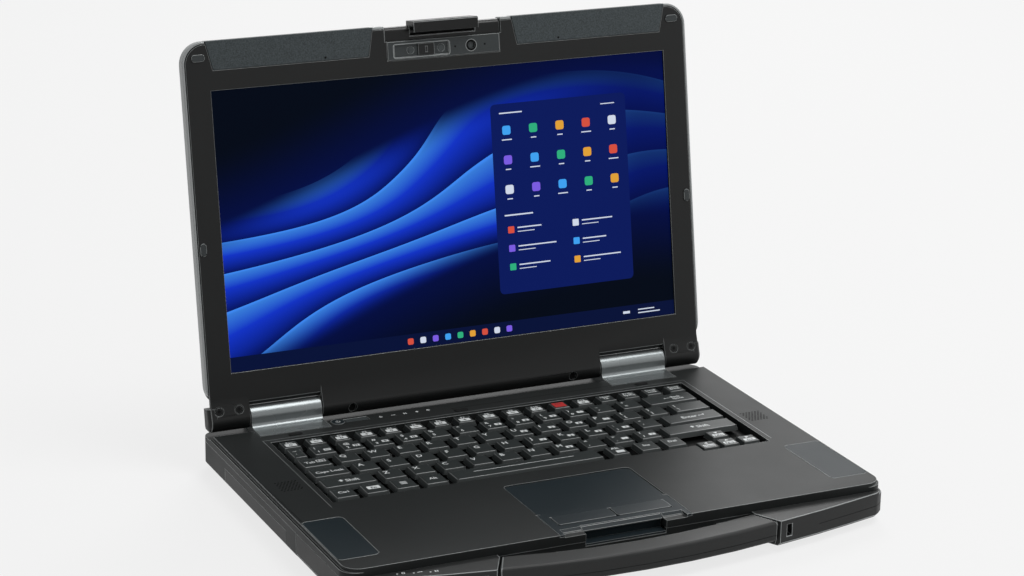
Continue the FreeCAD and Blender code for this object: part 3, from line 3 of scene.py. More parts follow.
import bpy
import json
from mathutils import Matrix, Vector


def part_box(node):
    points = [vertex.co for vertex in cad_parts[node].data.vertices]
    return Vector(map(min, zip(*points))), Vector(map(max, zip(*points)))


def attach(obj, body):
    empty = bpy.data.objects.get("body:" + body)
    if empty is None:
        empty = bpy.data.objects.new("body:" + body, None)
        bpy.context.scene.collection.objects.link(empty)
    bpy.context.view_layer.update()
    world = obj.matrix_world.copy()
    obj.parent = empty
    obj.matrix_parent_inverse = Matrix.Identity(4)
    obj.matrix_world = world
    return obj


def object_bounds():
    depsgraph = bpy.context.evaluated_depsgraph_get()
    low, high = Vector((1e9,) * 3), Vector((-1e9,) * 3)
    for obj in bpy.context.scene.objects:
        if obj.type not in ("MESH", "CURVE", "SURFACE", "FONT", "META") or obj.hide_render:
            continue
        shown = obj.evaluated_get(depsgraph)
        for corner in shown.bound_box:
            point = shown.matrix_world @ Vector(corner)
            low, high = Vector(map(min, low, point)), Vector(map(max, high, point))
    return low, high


bl_info = {
    "name": "Semi-rugged laptop",
    "version": (1, 0, 0),
    "blender": (4, 5, 0),
    "location": "3D View > Sidebar > Laptop",
    "description": "Dresses the laptop's frame with paint, moulded plastic, key legends and a lit screen",
    "category": "Object",
}

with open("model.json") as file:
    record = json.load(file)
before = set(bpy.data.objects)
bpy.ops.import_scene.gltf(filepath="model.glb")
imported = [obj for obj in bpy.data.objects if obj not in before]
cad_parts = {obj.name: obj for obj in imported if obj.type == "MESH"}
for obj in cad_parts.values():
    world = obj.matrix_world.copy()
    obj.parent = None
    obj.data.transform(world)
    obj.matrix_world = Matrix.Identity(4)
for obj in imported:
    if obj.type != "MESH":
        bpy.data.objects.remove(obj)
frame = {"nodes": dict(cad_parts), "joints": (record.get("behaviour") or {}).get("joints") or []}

import json
import math

import bmesh
import bpy
from mathutils import Matrix, Vector
from mathutils.geometry import convex_hull_2d

CAD_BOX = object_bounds()
NODES = frame["nodes"]
MM = 0.001
HINGE = next(joint for joint in frame["joints"] if joint["name"] == "lid_hinge")
LID_TURN = Matrix.Rotation(math.radians(-HINGE["range_deg"][0]), 4, "X")

# Two places to lay flat work out in, both in millimetres. On the deck, y starts at its front edge.
# On the lid, y climbs from the hinge axis and z stands out of the screen.
DECK_FRONT = -0.1235
DECK = Matrix.Translation((0, DECK_FRONT, 0)) @ Matrix.Scale(MM, 4)
LID = Matrix.Translation(HINGE["pos_m"]) @ LID_TURN @ Matrix.Scale(MM, 4)
DECK_TOP = 25.0
LID_FACE = 5.0
BAR_FACE = LID_FACE + 0.4
INK = 0.05  # how far print stands off the face below it

# Places on the deck and the front, in millimetres
SEAM_LOW, SEAM_HIGH = 11.6, 11.9  # parting line of the guards and the handle
RIDGE_X, RIDGE_FRONT, RIDGE_REAR = 145.6, 88.0, 202.4  # light line round the keyboard
SPEAKERS = ((-162.9, 121.6), (149.2, 119.8))  # first perforation of each speaker
HOLE_STEP, HOLE_ROW_STEP = 2.1, 1.9
SYMBOLS_X, SYMBOLS_Y = (-62.9, -54.5, -46.5, -38.4, -30.7), 214.7
GUARD_LAMPS = ((-141.0, -3.6), (-132.0, -5.7), (-123.0, -8.0))

# Places on the lid, in millimetres
SCREEN_LEFT, SCREEN_FOOT, SCREEN_RIGHT, SCREEN_TOP = -154.7, 28.8, 154.7, 202.8
STRIP_TOP = 38.2
CAMERA_Y, LENS_X = 217.1, 18.6
LENS_HOLE, LENS_RING, LENS_RIM = 2.3, 3.5, 3.9  # radii
SCREWS_X, SCREW_Y = (151.7, 164.6), 6.2
ROLL_HOLE_X, ROLL_HOLE_Y, ROLL_HOLE_R = 77.0, -2.7, 2.7


def srgb(code):
    """A hex sRGB colour as linear RGBA."""
    parts = [int(code[i:i + 2], 16) / 255 for i in (1, 3, 5)]
    return (*[p / 12.92 if p <= 0.04045 else ((p + 0.055) / 1.055) ** 2.4 for p in parts], 1.0)


def tint(name, words, code):
    """A colour that a user can change."""
    return bpy.props.FloatVectorProperty(name=name, description=words, subtype="COLOR", size=4, min=0,
                                         max=1, default=srgb(code))


def length(name, words, millimetres):
    """A length that a user can change."""
    return bpy.props.FloatProperty(name=name, description=words, default=millimetres * MM, min=0,
                                   unit="LENGTH", precision=5)


class LaptopColours(bpy.types.PropertyGroup):
    case: tint("Case", "Paint of the magnesium base", "#272929")
    cover: tint("Lid cover", "Paint of the lid's outer shell", "#8f9292")
    bezel: tint("Bezel", "Moulded frame round the screen", "#171818")
    antenna: tint("Antenna covers", "Radio windows in the lid's upper edge", "#444a4c")
    keys: tint("Keys", "Moulded key caps", "#2f3333")
    legend: tint("Legends", "Ink on the keys", "#dfe3e3")
    touch: tint("Touch pad", "Film on the touch pad", "#1e262a")
    cowl: tint("Cowls", "Paint of the hinge cowls", "#7c8182")
    guard: tint("Guards", "Moulded corner guards and handle", "#272828")
    # Painted highlight: the lighter colour given to the bevels along the edges, in place of the light they
    # catch.
    edge: tint("Edge highlights", "Painted highlight on the rounded edges", "#8d9191")
    bar: tint("Camera bar", "Moulded bar over the cameras", "#373b3c")
    hook: tint("Hook", "Gloss paint of the lid's hook", "#141515")
    rubber: tint("Rubber", "Bumpers, feet and pads", "#1b1c1c")
    steel: tint("Steel", "Screws, shafts and pins", "#b9bbbd")
    board: tint("Board", "Circuit board", "#1f4a34")
    copper: tint("Copper", "Heat pipe", "#b0694a")
    # Near-black of openings: painted shade inside holes and perforations; also the colour of the seams, the
    # keyboard plate and the black nylon.
    dark: tint("Openings", "Inside of holes and perforations", "#0b0c0c")
    alert: tint("Marked key", "Warm box on one key of the top row", "#c03a3a")
    screen_dark: tint("Screen, dark", "Deep colour of the picture", "#030917")
    screen_blue: tint("Screen, blue", "Colour of the picture's bands", "#1233c4")
    screen_bright: tint("Screen, bright", "Lit edges of the picture's bands", "#3f8bf5")


class LaptopSizes(bpy.types.PropertyGroup):
    edge: length("Edge rounding", "Rounding of the guards' edges", 0.4)
    deck_edge: length("Deck edge rounding", "Rounding of the case's and deck's edges", 0.18)
    key_edge: length("Key rounding", "Rounding of the key caps", 0.3)
    letter: length("Letter height", "Height of the capitals on the keys", 3.7)
    small: length("Word height", "Height of the capitals in words on keys", 2.9)
    tiny: length("Top row height", "Height of the capitals on the top row of keys", 2.3)
    hole: length("Perforation", "Width of each speaker perforation", 1.25)


# ---------------------------------------------------------------- shader graphs

def add(tree, kind, inputs=None, **settings):
    """Adds a node with its settings; an input is a value or the socket that feeds it."""
    item = tree.nodes.new(kind)
    for name, value in settings.items():
        setattr(item, name, value)
    for name, value in (inputs or {}).items():
        if isinstance(value, bpy.types.NodeSocket):
            tree.links.new(value, item.inputs[name])
        else:
            item.inputs[name].default_value = value
    return item


def seen_directly(tree):
    """1 for rays from the eye, and for those that left a mirror or a clear face; otherwise 0."""
    path = add(tree, "ShaderNodeLightPath")
    seen = add(tree, "ShaderNodeMath", {0: path.outputs["Is Camera Ray"], 1: path.outputs["Is Glossy Ray"]},
               operation="MAXIMUM")
    return add(tree, "ShaderNodeMath", {0: seen.outputs[0], 1: path.outputs["Is Transmission Ray"]},
               operation="MAXIMUM").outputs[0]


def blank(name):
    """A material with an empty graph."""
    material = bpy.data.materials.new(name)
    material.use_nodes = True
    material.node_tree.nodes.clear()
    return material, material.node_tree


def ramp(tree, factor, *stops):
    """A colour that runs through the stops, each a position and a colour."""
    item = add(tree, "ShaderNodeValToRGB", {"Fac": factor})
    elements = item.color_ramp.elements
    while len(elements) < len(stops):
        elements.new(0.5)
    for element, (position, colour) in zip(elements, stops):
        element.position = position
        element.color = colour
    return item.outputs["Color"]


def shade(colour, share):
    """The colour made lighter or darker by a share of itself."""
    return [min(1, c * (1 + share)) for c in colour[:3]] + [1]


def grained(name, base, grain, contrast, roughness, depth, **principled):
    """A surface with a grain of that width in its colour and height, and a slow drift in its gloss."""
    material, tree = blank(name)
    where = add(tree, "ShaderNodeTexCoord").outputs["Object"]
    fine = add(tree, "ShaderNodeTexNoise", {"Vector": where, "Scale": 1 / (grain * MM), "Detail": 3.0})
    broad = add(tree, "ShaderNodeTexNoise", {"Vector": where, "Scale": 1 / (45 * MM), "Detail": 2.0})
    colour = ramp(tree, fine.outputs["Fac"], (0.35, shade(base, -contrast)), (0.65, shade(base, contrast)))
    gloss = add(tree, "ShaderNodeMapRange", {"Value": broad.outputs["Fac"], "From Min": 0.3, "From Max": 0.7,
                                             "To Min": roughness - 0.03, "To Max": roughness + 0.04})
    height = add(tree, "ShaderNodeBump", {"Height": fine.outputs["Fac"], "Strength": 0.6,
                                          "Distance": depth * MM})
    shader = add(tree, "ShaderNodeBsdfPrincipled", {"Base Color": colour, "Roughness": gloss.outputs[0],
                                                    "Normal": height.outputs["Normal"], **principled})
    add(tree, "ShaderNodeOutputMaterial", {"Surface": shader.outputs[0]})
    return material


def give_light(tree, colour):
    """Ends a graph as a lit film: the colour as light, under a thin gloss."""
    shader = add(tree, "ShaderNodeBsdfPrincipled", {"Base Color": (0, 0, 0, 1), "Roughness": 0.4,
                                                    "Emission Color": colour, "Emission Strength": 1.0,
                                                    "Specular IOR Level": 0.02})
    add(tree, "ShaderNodeOutputMaterial", {"Surface": shader.outputs[0]})


def flat_light(name, colour):
    """A lit area of the screen in one colour."""
    material, tree = blank(name)
    give_light(tree, colour)
    return material


MADE = {}
DULL = {"Specular IOR Level": 0.12}
SATIN = {"Specular IOR Level": 0.22}
METAL = {"Metallic": 1.0}


def make_materials():
    """Every finish of the laptop, by the name of its slot."""
    c = bpy.context.scene.laptop_colours
    MADE.clear()
    # name, colour, grain in mm, contrast, roughness, depth of the grain in mm, gloss or metal
    finishes = {
        # Magnesium base under a fine-grained black paint: even, with a low sheen at a glancing angle.
        "case_black": ("magnesium_black_textured_paint", c.case, 0.35, 0.10, 0.42, 0.02, DULL),
        # The same metal on the outside of the lid, in a silver paint with a slight metallic sparkle.
        "lid_silver": ("magnesium_silver_paint", c.cover, 0.30, 0.08, 0.38, 0.01, {"Metallic": 0.35}),
        # Moulded frame round the screen: matt, very fine grain.
        "bezel_black": ("abs_black_matt_texture", c.bezel, 0.40, 0.10, 0.42, 0.02, SATIN),
        # The bar over the cameras: the same moulding in a lighter grey.
        "bar_grey": ("abs_grey_matt_texture", c.bar, 0.40, 0.10, 0.44, 0.02, SATIN),
        # Painted highlight on rounded edges: the bevels get a lighter, glossier finish than the faces they
        # part; the second, darker one is for keys, bezel and pad.
        "edge_painted_highlight": ("paint_rubbed_smooth_at_edge", c.edge, 0.6, 0.10, 0.28, 0.01, {}),
        "key_edge": ("abs_rubbed_smooth_at_edge", shade(c.edge, -0.35), 0.6, 0.10, 0.28, 0.01, {}),
        # Radio windows: a coarser speckle than the frame that they sit in.
        "antenna_plastic": ("polycarbonate_speckled_antenna_window",
                            c.antenna, 0.8, 0.28, 0.50, 0.05, DULL),
        # Key caps: smooth to the touch, with a soft satin gloss.
        "key_plastic": ("abs_key_caps_satin", c.keys, 0.5, 0.08, 0.40, 0.01, SATIN),
        # Plate between and under the keys: black enamel, its real black set to the near-black of the openings
        # so that the gaps also carry painted shade.
        "plate_black": ("sheet_steel_black_enamel", c.dark, 0.6, 0.10, 0.55, 0.01, DULL),
        # Touch pad: a polyester film, faintly blue against the paint.
        "touch_surface": ("polyester_film_matt", c.touch, 0.25, 0.06, 0.38, 0.005, DULL),
        # Palm covers and the surround of the pad's buttons: the same film over moulded plastic.
        "cover_plastic": ("abs_dark_film_covered", c.touch, 0.4, 0.10, 0.40, 0.01, DULL),
        # Pointing buttons and power button: smooth and a little glossier than their surround.
        "button_plastic": ("abs_button_satin", c.touch, 0.4, 0.08, 0.36, 0.01, SATIN),
        # Hinge cowls: painted metal, lighter than the case, with a soft metallic sheen.
        "cowl_metal": ("zinc_cowl_grey_metallic_paint", c.cowl, 0.25, 0.14, 0.27, 0.01, {"Metallic": 0.6}),
        # Corner guards and the carrying handle: tough plastic with a fine grain and a soft sheen.
        "guard_plastic": ("polycarbonate_black_fine_texture", c.guard, 0.45, 0.12, 0.44, 0.03, SATIN),
        # Zinc-plated arms, shafts and screws: bright, with a faint cloudiness.
        "steel": ("steel_zinc_plated", c.steel, 0.8, 0.06, 0.32, 0.01, METAL),
        # Socket shells: nickel plate, brighter and smoother than the zinc.
        "socket_metal": ("steel_nickel_plated_shell", c.steel, 0.6, 0.05, 0.28, 0.01, METAL),
        # Black nylon of the sockets' cores and of the parts inside: dull.
        "socket_plastic": ("nylon_black_socket", c.dark, 0.6, 0.10, 0.50, 0.01, DULL),
        # Hook, its knuckles and the lid's screws: gloss paint that gives small sharp lights.
        "hook_black": ("zinc_hook_black_gloss_paint", c.hook, 0.5, 0.08, 0.24, 0.01, SATIN),
        # Rubber: no gloss to speak of.
        "rubber": ("rubber_black_moulded", c.rubber, 0.6, 0.15, 0.62, 0.04, DULL),
        # Coated lenses and the status window: dark, with a clear reflection.
        "lens": ("glass_lens_coated_dark", shade(c.bar, 0.6), 2.0, 0.05, 0.18, 0.0, SATIN),
        # Circuit board under its green mask.
        "board": ("glass_epoxy_solder_mask_green", c.board, 3.0, 0.20, 0.40, 0.02, {}),
        # Aluminium case of the storage module: pale satin metal.
        "drive_metal": ("aluminium_brushed_drive_case", c.cover, 0.3, 0.06, 0.36, 0.01, METAL),
        # Heat pipe and spreader: satin copper.
        "copper": ("copper_heat_pipe_satin", c.copper, 0.8, 0.08, 0.34, 0.01, METAL),
        # Display film where nothing is lit: near black, with a soft reflection.
        "screen": ("lcd_antiglare_film_dark", c.screen_dark, 0.12, 0.05, 0.30, 0.002, DULL),
        # Printed marks: flat white and flat red, without gloss.
        "legend": ("ink_white_laser_marked", c.legend, 0.3, 0.03, 0.55, 0.0, DULL),
        "alert": ("ink_red_pad_printed", c.alert, 0.3, 0.06, 0.55, 0.0, DULL),
        # Depth of holes and seams that are too fine to cut: almost no light comes back.
        "dark": ("shadowed_bore", c.dark, 0.5, 0.10, 0.80, 0.0, DULL),
    }
    for slot, (*values, extra) in finishes.items():
        MADE[slot] = grained(*values, **extra)
    MADE["picture"] = picture_material(c)


def picture_material(c):
    """The lit screen: broad folded bands of blue that cross a dark field."""
    material, tree = blank("lcd_lit_picture_folded_bands")
    place = add(tree, "ShaderNodeTexCoord").outputs["UV"]
    axes = add(tree, "ShaderNodeSeparateXYZ", {"Vector": place})
    drift = add(tree, "ShaderNodeTexNoise", {"Vector": place, "Scale": 1.6, "Detail": 0.0})
    bend = add(tree, "ShaderNodeMath", {0: axes.outputs["X"], 1: 2.6, 2: 2.4}, operation="MULTIPLY_ADD")
    swing = add(tree, "ShaderNodeMath", {0: bend.outputs[0]}, operation="SINE")
    lift = add(tree, "ShaderNodeMath", {0: swing.outputs[0], 1: 0.26, 2: -0.42}, operation="MULTIPLY_ADD")
    height = add(tree, "ShaderNodeMath", {0: axes.outputs["Y"], 1: lift.outputs[0]})
    shifted = add(tree, "ShaderNodeMath", {0: drift.outputs["Fac"], 1: 0.5, 2: height.outputs[0]},
                  operation="MULTIPLY_ADD")
    vector = add(tree, "ShaderNodeCombineXYZ", {"X": axes.outputs["X"], "Y": shifted.outputs[0]})
    folds = add(tree, "ShaderNodeTexWave", {"Vector": vector.outputs[0], "Scale": 2.1, "Distortion": 1.3,
                                            "Detail": 0.0, "Detail Scale": 0.8},
                bands_direction="Y", wave_profile="SAW")
    bands = ramp(tree, folds.outputs["Fac"], (0.0, shade(c.screen_blue, -0.8)), (0.55, c.screen_blue),
                 (0.93, shade(c.screen_bright, -0.25)), (0.985, c.screen_bright))
    away = add(tree, "ShaderNodeMath", {0: height.outputs[0]}, operation="ABSOLUTE")
    reach = add(tree, "ShaderNodeMapRange", {"Value": away.outputs[0], "From Min": 0.30, "From Max": 0.17,
                                             "To Min": 0.0, "To Max": 1.0}, interpolation_type="SMOOTHSTEP")
    side = add(tree, "ShaderNodeMapRange", {"Value": axes.outputs["X"], "From Min": 0.95, "From Max": 0.55,
                                            "To Min": 0.12, "To Max": 1.0}, interpolation_type="SMOOTHSTEP")
    share = add(tree, "ShaderNodeMath", {0: reach.outputs[0], 1: side.outputs[0]}, operation="MULTIPLY")
    glow = add(tree, "ShaderNodeMapRange", {"Value": away.outputs[0], "From Min": 0.55, "From Max": 0.1,
                                            "To Min": 0.0, "To Max": 1.0}, interpolation_type="SMOOTHSTEP")
    field = ramp(tree, glow.outputs[0], (0.0, c.screen_dark), (1.0, shade(c.screen_blue, -0.86)))
    mixed = add(tree, "ShaderNodeMixRGB", {"Fac": share.outputs[0], "Color1": field, "Color2": bands})
    give_light(tree, mixed.outputs[0])
    return material


# ---------------------------------------------------------------- pieces

# Painted highlight: the finish that each of these finishes' bevels get instead of their own.
EDGE_HIGHLIGHT_FINISH = {"case_black": "edge_painted_highlight", "guard_plastic": "edge_painted_highlight", "cover_plastic": "edge_painted_highlight",
        "button_plastic": "edge_painted_highlight", "hook_black": "edge_painted_highlight", "key_plastic": "key_edge",
        "bezel_black": "key_edge", "bar_grey": "edge_painted_highlight", "touch_surface": "key_edge",
        "cowl_metal": "edge_painted_highlight"}
SHARP = math.radians(28)  # edges that turn by more than this are rounded


def finish_node(name, slot, edge, finish=None):
    """Gives a node of the frame its finish, joins its faces' seams and rounds its edges, with a painted
    highlight on the rounded edges of the finishes that have one.
    """
    item = NODES[name]
    finish = finish or slot
    item.data.materials.clear()
    item.data.materials.append(MADE[finish])
    for polygon in item.data.polygons:
        polygon.use_smooth = True
        polygon.material_index = 0
    weld = item.modifiers.new("weld", "WELD")
    weld.merge_threshold = 0.01 * MM
    round_off = item.modifiers.new("edges", "BEVEL")
    round_off.width = edge
    round_off.segments = 2
    round_off.limit_method = "ANGLE"
    round_off.angle_limit = SHARP
    round_off.use_clamp_overlap = False
    # The bevels' faces take the painted highlight finish.
    if finish in EDGE_HIGHLIGHT_FINISH:
        item.data.materials.append(MADE[EDGE_HIGHLIGHT_FINISH[finish]])
        round_off.material = 1
    even = item.modifiers.new("even", "WEIGHTED_NORMAL")
    even.mode = "FACE_AREA"
    even.weight = 100


def piece(name, body, material, work):
    """Makes a mesh by running work on an empty bmesh, and lets it ride on that body."""
    mesh = bpy.data.meshes.new(name)
    builder = bmesh.new()
    work(builder)
    builder.to_mesh(mesh)
    builder.free()
    mesh.materials.append(MADE[material])
    item = bpy.data.objects.new(name, mesh)
    bpy.context.scene.collection.objects.link(item)
    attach(item, body)
    return item


def loop(builder, place, points, z):
    """Vertices of a flat line at height z."""
    return [builder.verts.new(place @ Vector((x, y, z))) for x, y in points]


def fill(builder, place, points, z):
    """A flat patch inside a closed line."""
    builder.faces.new(loop(builder, place, points, z))


def band(builder, place, outer, inner, z):
    """A flat strip between two closed lines with as many points each."""
    out, into = loop(builder, place, outer, z), loop(builder, place, inner, z)
    for i in range(len(out)):
        j = (i + 1) % len(out)
        builder.faces.new((out[i], out[j], into[j], into[i]))


def circle(x, y, radius, sides=24):
    """A circle, as a closed line."""
    turns = [2 * math.pi * i / sides for i in range(sides)]
    return [(x + radius * math.cos(t), y + radius * math.sin(t)) for t in turns]


def tile(left, front, right, rear, radius=0.0):
    """A rectangle with rounded corners, as a closed line."""
    if radius <= 0:
        return [(left, front), (right, front), (right, rear), (left, rear)]
    points, steps = [], 3
    corners = ((right - radius, rear - radius, 0), (left + radius, rear - radius, 1),
               (left + radius, front + radius, 2), (right - radius, front + radius, 3))
    for x, y, quarter in corners:
        for step in range(steps + 1):
            turn = math.pi / 2 * (quarter + step / steps)
            points.append((x + radius * math.cos(turn), y + radius * math.sin(turn)))
    return points


def inside_box(point):
    """The point, held inside the solids' own box."""
    return Vector([min(max(value, least), most) for value, least, most in zip(point, *CAD_BOX)])


def seam(builder, node, low, high, wanted):
    """A fine dark line round the outer walls of a node, between two heights, where wanted(x, y) holds."""
    inverse = DECK.inverted()
    points = [(inverse @ vert.co).xy for vert in NODES[node].data.vertices]
    hull = [points[i] for i in convex_hull_2d(points)]
    middle = sum((point.x for point in hull), 0.0) / len(hull)
    for one, other in zip(hull, hull[1:] + hull[:1]):
        run = other - one
        out = Vector((run.y, -run.x)).normalized()
        outward = out.y < -0.15 or (abs(out.x) > 0.9 and abs(middle) > 50 and out.x * middle > 0)
        if run.length < 0.5 or not outward or not (wanted(*one) and wanted(*other)):
            continue
        a, b = one + out * INK, other + out * INK
        corners = ((a, low), (b, low), (b, high), (a, high))
        builder.faces.new([builder.verts.new(inside_box(DECK @ Vector((*spot, z)))) for spot, z in corners])


def slab(builder, place, x, y, z):
    """A flat strip with bevelled long edges."""
    cut = (z[1] - z[0]) / 3
    section = ((y[0] + cut, z[0]), (y[1] - cut, z[0]), (y[1], z[0] + cut), (y[1], z[1] - cut),
               (y[1] - cut, z[1]), (y[0] + cut, z[1]), (y[0], z[1] - cut), (y[0], z[0] + cut))
    ends = [[builder.verts.new(place @ Vector((across, *spot))) for spot in section] for across in x]
    builder.faces.new(ends[0][::-1])
    builder.faces.new(ends[1])
    for i in range(len(section)):
        j = (i + 1) % len(section)
        builder.faces.new((ends[0][i], ends[0][j], ends[1][j], ends[1][i]))


def outlined(builder, place, left, front, right, rear, line, z, radius=0.0):
    """The outline of a rectangle, line millimetres wide."""
    inner = max(radius - line, 0.05) if radius else 0
    band(builder, place, tile(left, front, right, rear, radius),
         tile(left + line, front + line, right - line, rear - line, inner), z)


def written(builder, place, words, x, y, z, capital, align="LEFT"):
    """Words in flat letters, capital millimetres tall, from x with their tops at y."""
    curve = bpy.data.curves.new("words", "FONT")
    curve.body = words
    curve.size = capital / 0.70
    curve.resolution_u = 2
    curve.align_x = align
    curve.align_y = "TOP"
    curve.space_line = 0.85
    curve.offset = capital * 0.025
    carrier = bpy.data.objects.new("words", curve)
    mesh = bpy.data.meshes.new_from_object(carrier)
    mesh.transform(place @ Matrix.Translation((x, y, z)))
    builder.from_mesh(mesh)
    bpy.data.objects.remove(carrier)
    bpy.data.meshes.remove(mesh)
    bpy.data.curves.remove(curve)


def high_of(node):
    """Top of a node in millimetres."""
    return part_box(node)[1].z / MM


def key_tops(node):
    """The flat top of each key of a row, left to right, as (left, front, right, rear, height)."""
    builder = bmesh.new()
    builder.from_mesh(NODES[node].data)
    bmesh.ops.remove_doubles(builder, verts=builder.verts, dist=0.01 * MM)
    left_to_do = set(builder.verts)
    tops = []
    inverse = DECK.inverted()
    while left_to_do:
        island, edge = set(), [left_to_do.pop()]
        while edge:
            vert = edge.pop()
            island.add(vert)
            for link in vert.link_edges:
                other = link.other_vert(vert)
                if other in left_to_do:
                    left_to_do.discard(other)
                    edge.append(other)
        points = [inverse @ vert.co for vert in island]
        height = max(p.z for p in points)
        top = [p for p in points if p.z > height - 0.05]
        across, along = [p.x for p in top], [p.y for p in top]
        tops.append((min(across), min(along), max(across), max(along), height))
    builder.free()
    return sorted(tops)


ROWS = {
    "function_keys": ["Esc", "F1", "F2", "F3", "F4", "F5", "F6", "F7", "F8", "F9", "F10", "F11", "F12",
                      "Num\nLk", "PrtSc\nSysRq", "Scroll\nLock", "Pause\nBreak"],
    "number_row_keys": ["~\n`", "!\n1", "@\n2", "#\n3", "$\n4", "%\n5", "^\n6", "&\n7", "*\n8", "(\n9",
                        ")\n0", "_\n-", "+\n=", "Back\nspace"],
    "tab_row_keys": ["Tab", "Q", "W", "E", "R", "T", "Y", "U", "I", "O", "P", "{\n[", "}\n]", "|\n\\"],
    "caps_row_keys": ["Caps Lock", "A", "S", "D", "F", "G", "H", "J", "K", "L", ":\n;", "\"\n'", "Enter"],
    "shift_row_keys": ["Shift", "Z", "X", "C", "V", "B", "N", "M", "<\n,", ">\n.", "?\n/", "Shift"],
    "bottom_row_keys": ["Ctrl", "Fn", "", "Alt", "Alt", "Ins", "Del"],
    "arrow_keys": ["Home", "PgUp", "PgDn", "End"],
}
# Second uses in a small box at a key's right, by the key's place in its row
SECOND_USES = {
    "number_row_keys": {1: "", 2: "", 3: "", 4: "", 7: "7", 8: "8", 9: "9", 10: "*"},
    "tab_row_keys": {7: "4", 8: "5", 9: "6", 10: "-"},
    "caps_row_keys": {7: "1", 8: "2", 9: "3", 10: "+"},
    "shift_row_keys": {7: "0", 9: ".", 10: "/"},
}
MARKED_KEY = 11  # place in the top row of the key with a warm box
TOP_ROW_BOXES = 13  # so many keys of the top row, from the left, have a box


